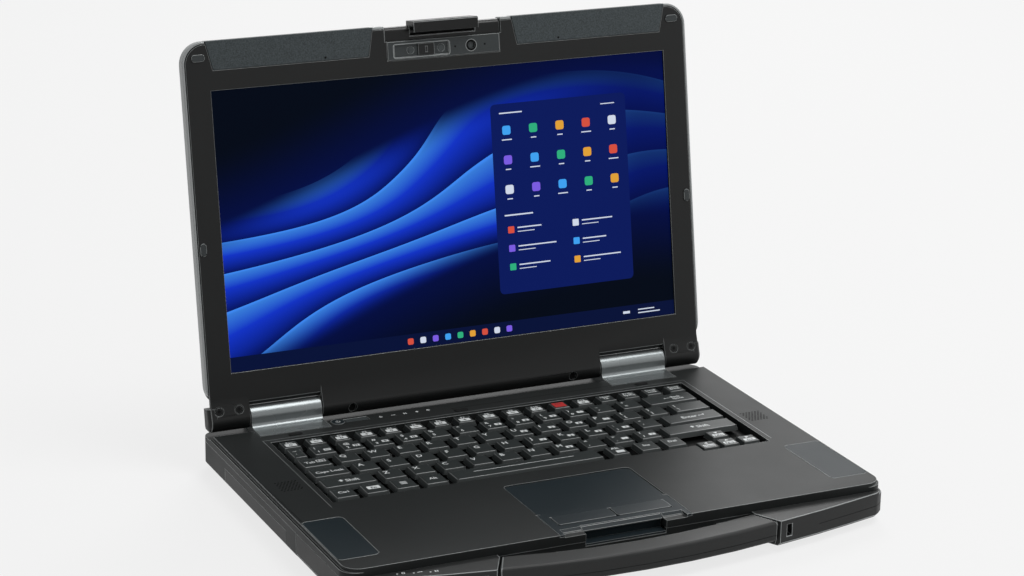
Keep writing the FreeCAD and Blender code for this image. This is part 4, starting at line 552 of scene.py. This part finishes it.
class Legends:
    """Ink on the keys of one row, and the dark signs that stand in its white boxes."""

    def __init__(self, row):
        sizes = bpy.context.scene.laptop_sizes
        self.row = row
        self.letter, self.small, self.tiny = (value / MM for value in (sizes.letter, sizes.small, sizes.tiny))
        self.words = ROWS[row]
        self.second = SECOND_USES.get(row, {})
        self.tops = key_tops(row)
        if len(self.tops) != len(self.words):
            raise RuntimeError(f"{row} has {len(self.tops)} keys and {len(self.words)} legends")

    def white(self, builder):
        for index, (word, top) in enumerate(zip(self.words, self.tops)):
            left, front, right, rear, height = top
            z = height + INK
            middle, centre = (left + right) / 2, (front + rear) / 2
            if self.row == "function_keys":
                self.top_row_key(builder, index, word, top)
            elif self.row == "arrow_keys":
                fill(builder, DECK, tile(middle - 3.9, front + 1.3, middle + 3.9, front + 4.7, 0.4), z)
                pointer(builder, middle, rear - 2.6, z, index)
            elif self.row == "bottom_row_keys":
                self.bottom_row_key(builder, index, word, top)
            elif word in ("Shift", "Enter", "Back\nspace", "Caps Lock", "Tab"):
                self.wide_key(builder, word, middle, centre, left, z)
            elif "\n" in word:
                above, below = word.split("\n")
                written(builder, DECK, above, left + 2.0, rear - 1.1, z, self.letter * 0.78)
                written(builder, DECK, below, left + 2.3, centre - 0.5, z, self.letter * 0.78)
            else:
                written(builder, DECK, word, left + 2.0, rear - 1.3, z, self.letter)
            if index in self.second:
                fill(builder, DECK, tile(right - 6.0, centre - 2.4, right - 1.5, centre + 0.7, 0.4), z)

    def top_row_key(self, builder, index, word, top):
        left, front, right, rear, height = top
        middle = (left + right) / 2
        if index == MARKED_KEY:
            return
        boxed, z = index < TOP_ROW_BOXES, height + INK
        written(builder, DECK, word, middle, rear - (0.8 if boxed else 1.0), z, self.tiny, "CENTER")
        if boxed:
            fill(builder, DECK, tile(middle - 3.6, front + 1.6, middle + 3.6, rear - self.tiny - 1.4, 0.5), z)

    def bottom_row_key(self, builder, index, word, top):
        left, front, right, rear, height = top
        middle, centre, z = (left + right) / 2, (front + rear) / 2, height + INK
        if word == "Fn":
            fill(builder, DECK, tile(middle - 4.0, centre - 1.0, middle + 4.0, centre + 3.4, 0.5), z)
        elif not word:
            for line in range(3):
                fill(builder, DECK, tile(middle - 2.0, centre - 0.9 + 1.5 * line, middle + 2.0,
                                         centre - 0.1 + 1.5 * line), z)
        elif index == 4:
            written(builder, DECK, word, left + 2.2, rear - 1.2, z, self.small)
            fill(builder, DECK, tile(left + 3.4, front + 2.4, left + 9.0, front + 6.0, 0.5), z)
        else:
            written(builder, DECK, word, middle, centre + self.small, z, self.small, "CENTER")

    def wide_key(self, builder, word, middle, centre, left, z):
        """A word in the middle of a wide key, with its arrow."""
        top = centre + self.small * 0.7
        if word == "Tab":
            written(builder, DECK, word, left + 2.2, top, z, self.small)
            outlined(builder, DECK, left + 9.6, top - 3.2, left + 15.4, top + 0.6, 0.5, z)
            straight_arrow(builder, left + 12.5, top - 0.7, z, -1, 1.6)
            straight_arrow(builder, left + 12.5, top - 2.0, z, 1, 1.6)
        elif word == "Back\nspace":
            written(builder, DECK, word, middle + 1.5, centre + 2.9, z, self.small * 0.85)
            straight_arrow(builder, middle - 1.6, centre + 0.2, z, -1, 2.4)
        elif word == "Enter":
            written(builder, DECK, word, middle - 7.6, top + 0.2, z, self.small * 1.2)
            straight_arrow(builder, middle + 6.4, top - 2.1, z, -1, 2.2)
            fill(builder, DECK, tile(middle + 8.2, top - 2.4, middle + 8.7, top), z)
        elif word == "Shift":
            written(builder, DECK, word, middle - 1.6, top + 0.2, z, self.small * 1.2)
            raised_arrow(builder, middle - 4.0, top - 1.3, z)
        else:
            written(builder, DECK, word, middle, top, z, self.small, "CENTER")

    def dark(self, builder):
        for index, sign in self.second.items():
            left, front, right, rear, height = self.tops[index]
            centre, z = (front + rear) / 2, height + 2 * INK
            if sign:
                written(builder, DECK, sign, right - 3.75, centre + 0.2, z, 2.1, "CENTER")
            else:
                glyph(builder, right - 3.75, centre - 0.85, z, index)
        for index, (left, front, right, rear, height) in enumerate(self.tops):
            middle, z = (left + right) / 2, height + 2 * INK
            if self.row == "function_keys" and index < TOP_ROW_BOXES and index != MARKED_KEY:
                glyph(builder, middle, (front + rear - self.tiny) / 2, z, index)
            elif self.row == "arrow_keys":
                written(builder, DECK, self.words[index], middle, front + 4.0, z, 1.9, "CENTER")
            elif self.row == "bottom_row_keys" and self.words[index] == "Fn":
                written(builder, DECK, "Fn", middle, (front + rear) / 2 + 2.6, z, 2.7, "CENTER")

    def print(self):
        body = f"{self.row}_body"
        piece(f"{self.row}_legends", body, "legend", self.white)
        if self.second or self.row in ("function_keys", "arrow_keys", "bottom_row_keys"):
            piece(f"{self.row}_box_signs", body, "key_plastic", self.dark)


def put_marked_key():
    """A warm block that fills most of one key of the top row, with its label in the key's own colour."""
    left, front, right, rear, height = key_tops("function_keys")[MARKED_KEY]
    middle = (left + right) / 2
    body, word = "function_keys_body", ROWS["function_keys"][MARKED_KEY]
    piece("marked_key_box", body, "alert", lambda builder: fill(
        builder, DECK, tile(middle - 4.0, front + 1.6, middle + 4.0, rear - 0.6, 0.4), height + INK))
    piece("marked_key_sign", body, "key_plastic", lambda builder: written(
        builder, DECK, word, middle, rear - 1.2, height + 2 * INK, 2.0, "CENTER"))


def raised_arrow(builder, x, y, z):
    """An arrow that points to the rear, on a short shaft."""
    fill(builder, DECK, [(x - 1.7, y), (x, y + 1.7), (x + 1.7, y)], z)
    fill(builder, DECK, tile(x - 0.7, y - 1.3, x + 0.7, y), z)


def straight_arrow(builder, x, y, z, way, reach):
    """An arrow to the left (-1) or right (1), centred on x."""
    tip, neck = x + way * reach, x + way * (reach - 1.1)
    head = [(tip, y), (neck, y + 0.8), (neck, y - 0.8)]
    fill(builder, DECK, head if way < 0 else head[::-1], z)
    fill(builder, DECK, tile(min(neck, x - way * reach), y - 0.25, max(neck, x - way * reach), y + 0.25), z)


def pointer(builder, x, y, z, index):
    """A small arrow head that points left, to the rear, to the front or right."""
    turn = (math.pi, math.pi / 2, -math.pi / 2, 0)[index]
    points = [(x + 1.6 * math.cos(turn + step), y + 1.6 * math.sin(turn + step)) for step in (0, 2.1, -2.1)]
    fill(builder, DECK, points, z)


# Bars of the plain marks, as (left, front, right, rear): none for a ring, one bar, a pair, a cross
MARKS = ((), ((-1.5, -0.35, 1.5, 0.35),), ((-1.0, -1.0, -0.3, 1.0), (0.3, -1.0, 1.0, 1.0)),
         ((-1.1, -0.3, 1.1, 0.3), (-0.3, 0.3, 0.3, 1.1), (-0.3, -1.1, 0.3, -0.3)))


def glyph(builder, x, y, z, index):
    """A plain mark: one of a ring, a bar, a pair of bars and a cross of bars."""
    bars = MARKS[index % len(MARKS)]
    if not bars:
        band(builder, DECK, circle(x, y, 1.1, 12), circle(x, y, 0.6, 12), z)
    for left, front, right, rear in bars:
        fill(builder, DECK, tile(x + left, y + front, x + right, y + rear), z)


# ---------------------------------------------------------------- operators

class LaptopOperator:
    """What the laptop's operators share."""
    bl_options = {"REGISTER", "UNDO"}

    def execute(self, context):
        self.make(context.scene.laptop_sizes)
        return {"FINISHED"}


class LAPTOP_OT_finishes(LaptopOperator, bpy.types.Operator):
    """Makes the laptop's materials"""
    bl_idname = "laptop.finishes"
    bl_label = "Materials"

    def make(self, sizes):
        make_materials()


class LAPTOP_OT_base(LaptopOperator, bpy.types.Operator):
    """Finishes the base: case, deck, covers, guards, cowls and what shows through their openings"""
    bl_idname = "laptop.base"
    bl_label = "Base"

    def make(self, sizes):
        slots = {"bottom_case": "case_black", "top_case": "case_black", "keyboard_plate": "plate_black",
                 "touchpad": "touch_surface", "button_plate": "cover_plastic", "latch_catch": "cover_plastic",
                 "hinge_cowl_left": "cowl_metal", "hinge_cowl_right": "cowl_metal",
                 "palm_cover_left": "cover_plastic", "palm_cover_right": "cover_plastic",
                 "status_window": "lens", "touch_button_left": "button_plastic",
                 "touch_button_right": "button_plastic", "power_button": "button_plastic",
                 "corner_guard_left": "guard_plastic", "corner_guard_right": "guard_plastic",
                 "deck_pads": "rubber"}
        for name, slot in slots.items():
            edge = sizes.edge if slot == "guard_plastic" else sizes.deck_edge
            finish_node(name, slot, edge)
        piece("speaker_perforations", "base", "dark", self.perforations)
        piece("deck_symbols", "base", "legend", self.symbols)
        piece("power_sign", "power", "legend", self.power_sign)
        piece("deck_seams", "base", "dark", self.seams)
        for side, word in ((-1, "left"), (1, "right")):
            piece(f"guard_seam_{word}", "base", "dark", lambda builder, side=side, word=word: seam(
                builder, f"corner_guard_{word}", SEAM_LOW, SEAM_HIGH, lambda x, y: side * x > 100 and y < 74))
        piece("keyboard_ridge_painted_highlight", "base", "edge_painted_highlight", self.ridge)
        piece("guard_symbols", "base", "legend", self.guard_symbols)

    def perforations(self, builder):
        # Painted shade: each perforation is a dark disc on the deck in place of a hole.
        radius = bpy.context.scene.laptop_sizes.hole / MM / 2
        for x0, y0 in SPEAKERS:
            for row in range(8):
                for column in range(6 + row % 2):
                    x = x0 + HOLE_STEP * column + (0 if row % 2 else HOLE_STEP / 2)
                    fill(builder, DECK, circle(x, y0 + HOLE_ROW_STEP * row, radius, 10), DECK_TOP + INK)

    def symbols(self, builder):
        z = DECK_TOP + INK
        for index, x in enumerate(SYMBOLS_X):
            glyph(builder, x, SYMBOLS_Y, z, index)

    def power_sign(self, builder):
        low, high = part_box("power_button")
        x, y = (DECK.inverted() @ ((low + high) / 2)).xy
        z = high.z / MM + INK
        steps = 18
        turns = [math.radians(125 + 290 * i / steps) for i in range(steps + 1)]
        outer = [(x + 1.5 * math.cos(t), y + 1.5 * math.sin(t)) for t in turns]
        inner = [(x + 1.15 * math.cos(t), y + 1.15 * math.sin(t)) for t in turns]
        for i in range(steps):
            fill(builder, DECK, [outer[i], outer[i + 1], inner[i + 1], inner[i]], z)
        fill(builder, DECK, tile(x - 0.18, y + 0.3, x + 0.18, y + 1.8), z)

    def ridge(self, builder):
        """A fine painted highlight line behind the keyboard and down its sides, along the edge of a low
        ridge.
        """
        z = DECK_TOP + INK
        fill(builder, DECK, tile(-146.0, RIDGE_REAR, RIDGE_X, 202.75), z)
        for side in (-1, 1):
            x = RIDGE_X * side
            fill(builder, DECK, tile(x - 0.15, RIDGE_FRONT, x + 0.15, RIDGE_REAR), z)

    def guard_symbols(self, builder):
        """Lamps and their marks on the left guard."""
        z = high_of("carry_handle") + INK
        for index, (x, y) in enumerate(GUARD_LAMPS):
            fill(builder, DECK, circle(x - 2.2, y, 0.55, 12), z)
            glyph(builder, x + 1.4, y, z, index)

    def seams(self, builder):
        """Fine joints of the strip behind the keyboard."""
        z = DECK_TOP + INK
        fill(builder, DECK, tile(-15.7, 206.0, -15.4, 211.4), z)
        fill(builder, DECK, tile(-17.0, 211.0, 96.0, 211.3), z)


class LAPTOP_OT_lid(LaptopOperator, bpy.types.Operator):
    """Finishes the lid: shell, bezel, antenna covers, camera bar, screws and hook"""
    bl_idname = "laptop.lid"
    bl_label = "Lid"

    def make(self, sizes):
        slots = {"lid_cover": "lid_silver", "lid_bezel": "bezel_black", "lcd_panel": "screen",
                 "antenna_cover_left": "antenna_plastic", "antenna_cover_right": "antenna_plastic",
                 "camera_bar": "bezel_black", "camera_lenses": "lens", "camera_shutter": "bezel_black",
                 "lid_bumpers": "rubber", "lid_screws": "hook_black", "hinge_shafts": "steel",
                 "latch_pivot": "hook_black", "latch_hook": "hook_black"}
        for name, slot in slots.items():
            finish_node(name, slot, {"lid_cover": 0.5, "lid_screws": 0.1}.get(name, 0.25) * MM,
                        "bar_grey" if name in ("camera_bar", "lid_bumpers") else None)
        piece("screw_recesses_painted_shade", "lid", "dark", self.recesses)
        piece("camera_marks", "lid", "dark", self.marks)
        piece("camera_rims_painted_highlight", "lid", "edge_painted_highlight", self.frame)
        # Painted shade: a thin dark strip in the gap under the hook, where light would otherwise show
        # through.
        piece("latch_gap_painted_shade", "lid", "rubber", lambda builder: slab(
            builder, LID, (-38.8, 38.8), (224.6, 226.2), (-2.2, -1.7)))
        # Painted shade: a dark dot for each microphone hole.
        piece("microphone_hole", "lid", "dark", lambda builder: [
            fill(builder, LID, circle(x, CAMERA_Y, 0.7, 12), LID_FACE + 0.3 + INK) for x in (-79.6, 79.6)])

    def recesses(self, builder):
        """Painted shade: dark discs in the sockets of the lobes' screws and on the floors of the two round
        holes in the roll.
        """
        inverse = LID.inverted()
        face = max((inverse @ vert.co).z for vert in NODES["lid_screws"].data.vertices)
        for x in SCREWS_X:
            for side in (-1, 1):
                fill(builder, LID, circle(side * x, SCREW_Y, 1.05, 6), face + INK)
        spots = [inverse @ vert.co for vert in NODES["lid_bezel"].data.vertices]
        floor = min(spot.z for spot in spots
                    if math.hypot(abs(spot.x) - ROLL_HOLE_X, spot.y - ROLL_HOLE_Y) < ROLL_HOLE_R + 0.1)
        for x in (-ROLL_HOLE_X, ROLL_HOLE_X):
            fill(builder, LID, circle(x, ROLL_HOLE_Y, ROLL_HOLE_R, 20), floor + INK)

    def marks(self, builder):
        """Microphone and lamp beside the camera, and the dark ring round its lens; the microphone's dot is
        painted shade of its hole.
        """
        z = BAR_FACE + INK
        for x in (7.6, 28.0):
            fill(builder, LID, circle(x, CAMERA_Y, 0.65, 12), z)
        band(builder, LID, circle(LENS_X, CAMERA_Y, LENS_RING), circle(LENS_X, CAMERA_Y, LENS_HOLE), z)

    def frame(self, builder):
        """Painted highlight on the rims of the shutter's window and of the camera beside it."""
        z = BAR_FACE + INK
        outlined(builder, LID, -34.6, 212.4, 4.2, 221.6, 0.5, z, 1.6)
        band(builder, LID, circle(LENS_X, CAMERA_Y, LENS_RIM), circle(LENS_X, CAMERA_Y, LENS_RING), z)


class LAPTOP_OT_keyboard(LaptopOperator, bpy.types.Operator):
    """Finishes the key caps and prints their legends"""
    bl_idname = "laptop.keyboard"
    bl_label = "Keyboard"

    def make(self, sizes):
        for row in [*ROWS, "space_bar"]:
            finish_node(row, "key_plastic", sizes.key_edge)
        for row in ROWS:
            Legends(row).print()
        put_marked_key()
        left, front, right, rear, height = key_tops("space_bar")[0]
        piece("space_bar_line", "space_bar_body", "legend", lambda builder: fill(
            builder, DECK, tile(left + 14, rear - 5.2, right - 16, rear - 4.7), height + INK))


TILE_COLOURS = {"sky": "#3fa0f0", "mint": "#2fae7c", "amber": "#e0a038", "coral": "#d5503f",
                "white": "#cfd8e8", "violet": "#7a5ce0"}
PANEL_COLOURS = {"panel": "#0a1a5c", "strip": "#071238"}


class LAPTOP_OT_screen(LaptopOperator, bpy.types.Operator):
    """Lights the screen with a picture of blue bands and a panel of plain tiles"""
    bl_idname = "laptop.screen"
    bl_label = "Screen"

    def make(self, sizes):
        inverse = LID.inverted()
        corners = [inverse @ vert.co for vert in NODES["lcd_panel"].data.vertices]
        self.face = max(corner.z for corner in corners) + INK
        wide, tall = SCREEN_RIGHT - SCREEN_LEFT, SCREEN_TOP - SCREEN_FOOT

        def lay(builder):
            columns, rows = 16, 9
            uv = builder.loops.layers.uv.new("picture")
            grid = [[builder.verts.new(LID @ Vector((SCREEN_LEFT + wide * i / columns,
                                                     SCREEN_FOOT + tall * j / rows, self.face)))
                     for i in range(columns + 1)] for j in range(rows + 1)]
            for j in range(rows):
                for i in range(columns):
                    face = builder.faces.new((grid[j][i], grid[j][i + 1], grid[j + 1][i + 1], grid[j + 1][i]))
                    spots = ((i, j), (i + 1, j), (i + 1, j + 1), (i, j + 1))
                    for corner, (u, v) in zip(face.loops, spots):
                        corner[uv].uv = (u / columns, v / rows)

        self.lit("screen_picture", "picture", lay)
        self.tiles()

    def tiles(self):
        """A panel of plain tiles and bars at the picture's right, and a strip of marks along its foot."""
        for name, code in {**PANEL_COLOURS, **TILE_COLOURS}.items():
            MADE[f"light_{name}"] = flat_light(f"lcd_lit_{name}", srgb(code))
        self.lit("screen_panel", "light_panel", lambda builder: fill(
            builder, LID, tile(30, 56, 126, 178, 3), self.face + INK))
        self.lit("screen_strip", "light_strip", lambda builder: fill(
            builder, LID, tile(SCREEN_LEFT, SCREEN_FOOT, SCREEN_RIGHT, STRIP_TOP), self.face + INK))
        for shift, name in enumerate(TILE_COLOURS):
            self.lit(f"screen_{name}_tiles", f"light_{name}",
                     lambda builder, shift=shift: self.some_tiles(builder, shift))
        self.lit("screen_bars", "light_white", self.bars)

    def lit(self, name, material, work):
        """A patch of the screen that neither lights the deck nor mirrors in it."""
        item = piece(name, "lid", material, work)
        item.visible_diffuse = False
        item.visible_glossy = False

    def some_tiles(self, builder, shift):
        """The tiles of one colour: every sixth of the panel, its list and the strip."""
        z = self.face + 2 * INK
        spots = [(40.5 + 18.8 * (i % 5), 161 - 19 * (i // 5), 2.9, 1.4) for i in range(15)]
        spots += [(40 + 46 * (i % 2), 97 - 12 * (i // 2), 2.2, 0.6) for i in range(6)]
        spots += [(-34 + 8.6 * i, 33.5, 2.0, 1.0) for i in range(9)]
        for index, (x, y, half, radius) in enumerate(spots):
            if index % len(TILE_COLOURS) == shift:
                fill(builder, LID, tile(x - half, y - half, x + half, y + half, radius), z)

    def bars(self, builder):
        """Bars that stand for words: under the tiles, beside the list, over both and at the strip's end."""
        z = self.face + 2 * INK
        spans = [(38.6 + 18.8 * (i % 5) - 1.6 * (i % 3 == 0), 154.6 - 19 * (i // 5),
                  3.8 + 3.2 * (i % 3 == 0), 0.7) for i in range(15)]
        spans += [(44.5 + 46 * (i % 2), 97.6 - 12 * (i // 2), 17 + 5 * (i % 3), 0.8) for i in range(6)]
        spans += [(44.5 + 46 * (i % 2), 95.2 - 12 * (i // 2), 12, 0.5) for i in range(6)]
        spans += [(36, 171.6, 16, 0.8), (108, 171.6, 10, 0.6), (36, 106.0, 20, 0.9), (128, 34.4, 12, 0.7),
                  (128, 32.2, 16, 0.7), (117, 33.0, 5, 1.6)]
        for x, y, wide, tall in spans:
            fill(builder, LID, tile(x, y, x + wide, y + tall), z)


class LAPTOP_OT_fittings(LaptopOperator, bpy.types.Operator):
    """Finishes the handle, sockets, underside and what is inside the case"""
    bl_idname = "laptop.fittings"
    bl_label = "Fittings"

    def make(self, sizes):
        slots = {"carry_handle": "guard_plastic", "handle_arms": "steel", "mainboard": "board",
                 "heat_sink": "copper", "fan_housing": "socket_plastic", "fan_rotor": "socket_plastic",
                 "speakers": "socket_plastic", "ssd_module": "drive_metal", "feet": "rubber",
                 "bottom_screws": "steel", "usb_ports": "socket_metal", "hdmi_port": "socket_metal",
                 "lan_port": "socket_metal", "audio_jack": "socket_plastic", "dc_jack": "socket_plastic",
                 "exhaust_grille": "guard_plastic", "battery_pack": "guard_plastic",
                 "battery_latch": "guard_plastic", "bay_module": "guard_plastic",
                 "bay_latch": "guard_plastic"}
        for name, slot in slots.items():
            finish_node(name, slot, 0.8 * MM if name == "carry_handle" else 0.2 * MM)
        piece("handle_seam", "handle", "dark", lambda builder: seam(
            builder, "carry_handle", SEAM_LOW, SEAM_HIGH, lambda x, y: y < -15))


class LAPTOP_OT_stage(LaptopOperator, bpy.types.Operator):
    """Sets the floor, the light and the camera"""
    bl_idname = "laptop.stage"
    bl_label = "Stage"

    def make(self, sizes):
        scene = bpy.context.scene
        scene.view_settings.view_transform = "Standard"
        self.floor()
        self.world(scene)
        self.lamp("key_light", (0.6, -0.4, 2.0), (0, 0, 0.05), 1.0, 21)
        self.lamp("fill_light", (1.6, -0.9, 1.0), (0, 0, 0.05), 1.2, 7)
        self.lamp("back_light", (0.9, 1.6, 1.5), (0.1, 0, 0.05), 1.0, 20)
        self.camera(scene)

    def floor(self):
        mesh = bpy.data.meshes.new("floor")
        mesh.from_pydata([(-9, -9, 0), (9, -9, 0), (9, 9, 0), (-9, 9, 0)], [], [(0, 1, 2, 3)])
        item = bpy.data.objects.new("floor", mesh)
        bpy.context.scene.collection.objects.link(item)
        material, tree = blank("studio_floor_white_paper")
        where = add(tree, "ShaderNodeTexCoord").outputs["Object"]
        grain = add(tree, "ShaderNodeTexNoise", {"Vector": where, "Scale": 900.0})
        paper = ramp(tree, grain.outputs["Fac"], (0.0, srgb("#f0f0f0")), (1.0, srgb("#f5f5f5")))
        diffuse = add(tree, "ShaderNodeBsdfDiffuse", {"Color": paper})
        light = add(tree, "ShaderNodeEmission", {"Color": srgb("#f5f5f5"), "Strength": 1.0})
        share = add(tree, "ShaderNodeMath", {0: seen_directly(tree), 1: 0.85}, operation="MULTIPLY")
        mixed = add(tree, "ShaderNodeMixShader",
                    {0: share.outputs[0], 1: diffuse.outputs[0], 2: light.outputs[0]})
        add(tree, "ShaderNodeOutputMaterial", {"Surface": mixed.outputs[0]})
        mesh.materials.append(material)

    def world(self, scene):
        world = bpy.data.worlds.new("studio")
        scene.world = world
        world.use_nodes = True
        tree = world.node_tree
        tree.nodes.clear()
        seen = seen_directly(tree)
        plain = add(tree, "ShaderNodeBackground", {"Color": srgb("#ffffff"), "Strength": 0.26})
        shown = add(tree, "ShaderNodeBackground", {"Color": srgb("#f5f5f5"), "Strength": 1.0})
        mixed = add(tree, "ShaderNodeMixShader", {0: seen, 1: plain.outputs[0], 2: shown.outputs[0]})
        add(tree, "ShaderNodeOutputWorld", {"Surface": mixed.outputs[0]})

    def lamp(self, name, where, towards, width, watts):
        data = bpy.data.lights.new(name, "AREA")
        data.size = width
        data.energy = watts
        item = bpy.data.objects.new(name, data)
        item.location = where
        item.rotation_euler = (Vector(towards) - Vector(where)).to_track_quat("-Z", "Y").to_euler()
        bpy.context.scene.collection.objects.link(item)

    def camera(self, scene):
        data = bpy.data.cameras.new("camera")
        data.lens = 97.56
        data.sensor_width = 36.0
        item = bpy.data.objects.new("camera", data)
        right = Vector((0.906250, -0.422412, 0.016701))
        down = Vector((-0.114820, -0.283975, -0.951932))
        ahead = Vector((0.406850, 0.860771, -0.305854))
        turn = Matrix((right, -down, -ahead)).transposed().to_4x4()
        item.matrix_world = Matrix.Translation((-0.686448, -1.417121, 0.634967)) @ turn
        scene.collection.objects.link(item)
        scene.camera = item


class LAPTOP_PT_panel(bpy.types.Panel):
    """Colours, sizes and making of the laptop"""
    bl_idname = "LAPTOP_PT_panel"
    bl_label = "Laptop"
    bl_space_type = "VIEW_3D"
    bl_region_type = "UI"
    bl_category = "Laptop"

    def draw(self, context):
        scene = context.scene
        for group in (scene.laptop_colours, scene.laptop_sizes):
            for name in group.bl_rna.properties.keys():
                if name not in ("name", "rna_type"):
                    self.layout.prop(group, name)
        for operator in OPERATORS:
            self.layout.operator(operator.bl_idname)


OPERATORS = (LAPTOP_OT_finishes, LAPTOP_OT_base, LAPTOP_OT_lid, LAPTOP_OT_keyboard, LAPTOP_OT_screen,
             LAPTOP_OT_fittings, LAPTOP_OT_stage)
CLASSES = (LaptopColours, LaptopSizes, *OPERATORS, LAPTOP_PT_panel)


def register():
    for item in CLASSES:
        bpy.utils.register_class(item)
    bpy.types.Scene.laptop_colours = bpy.props.PointerProperty(type=LaptopColours)
    bpy.types.Scene.laptop_sizes = bpy.props.PointerProperty(type=LaptopSizes)


def unregister():
    del bpy.types.Scene.laptop_sizes
    del bpy.types.Scene.laptop_colours
    for item in reversed(CLASSES):
        bpy.utils.unregister_class(item)


def main():
    """Makes the whole laptop."""
    register()
    bpy.ops.laptop.finishes()
    bpy.ops.laptop.base()
    bpy.ops.laptop.lid()
    bpy.ops.laptop.keyboard()
    bpy.ops.laptop.screen()
    bpy.ops.laptop.fittings()
    bpy.ops.laptop.stage()


if __name__ == "__main__":
    main()
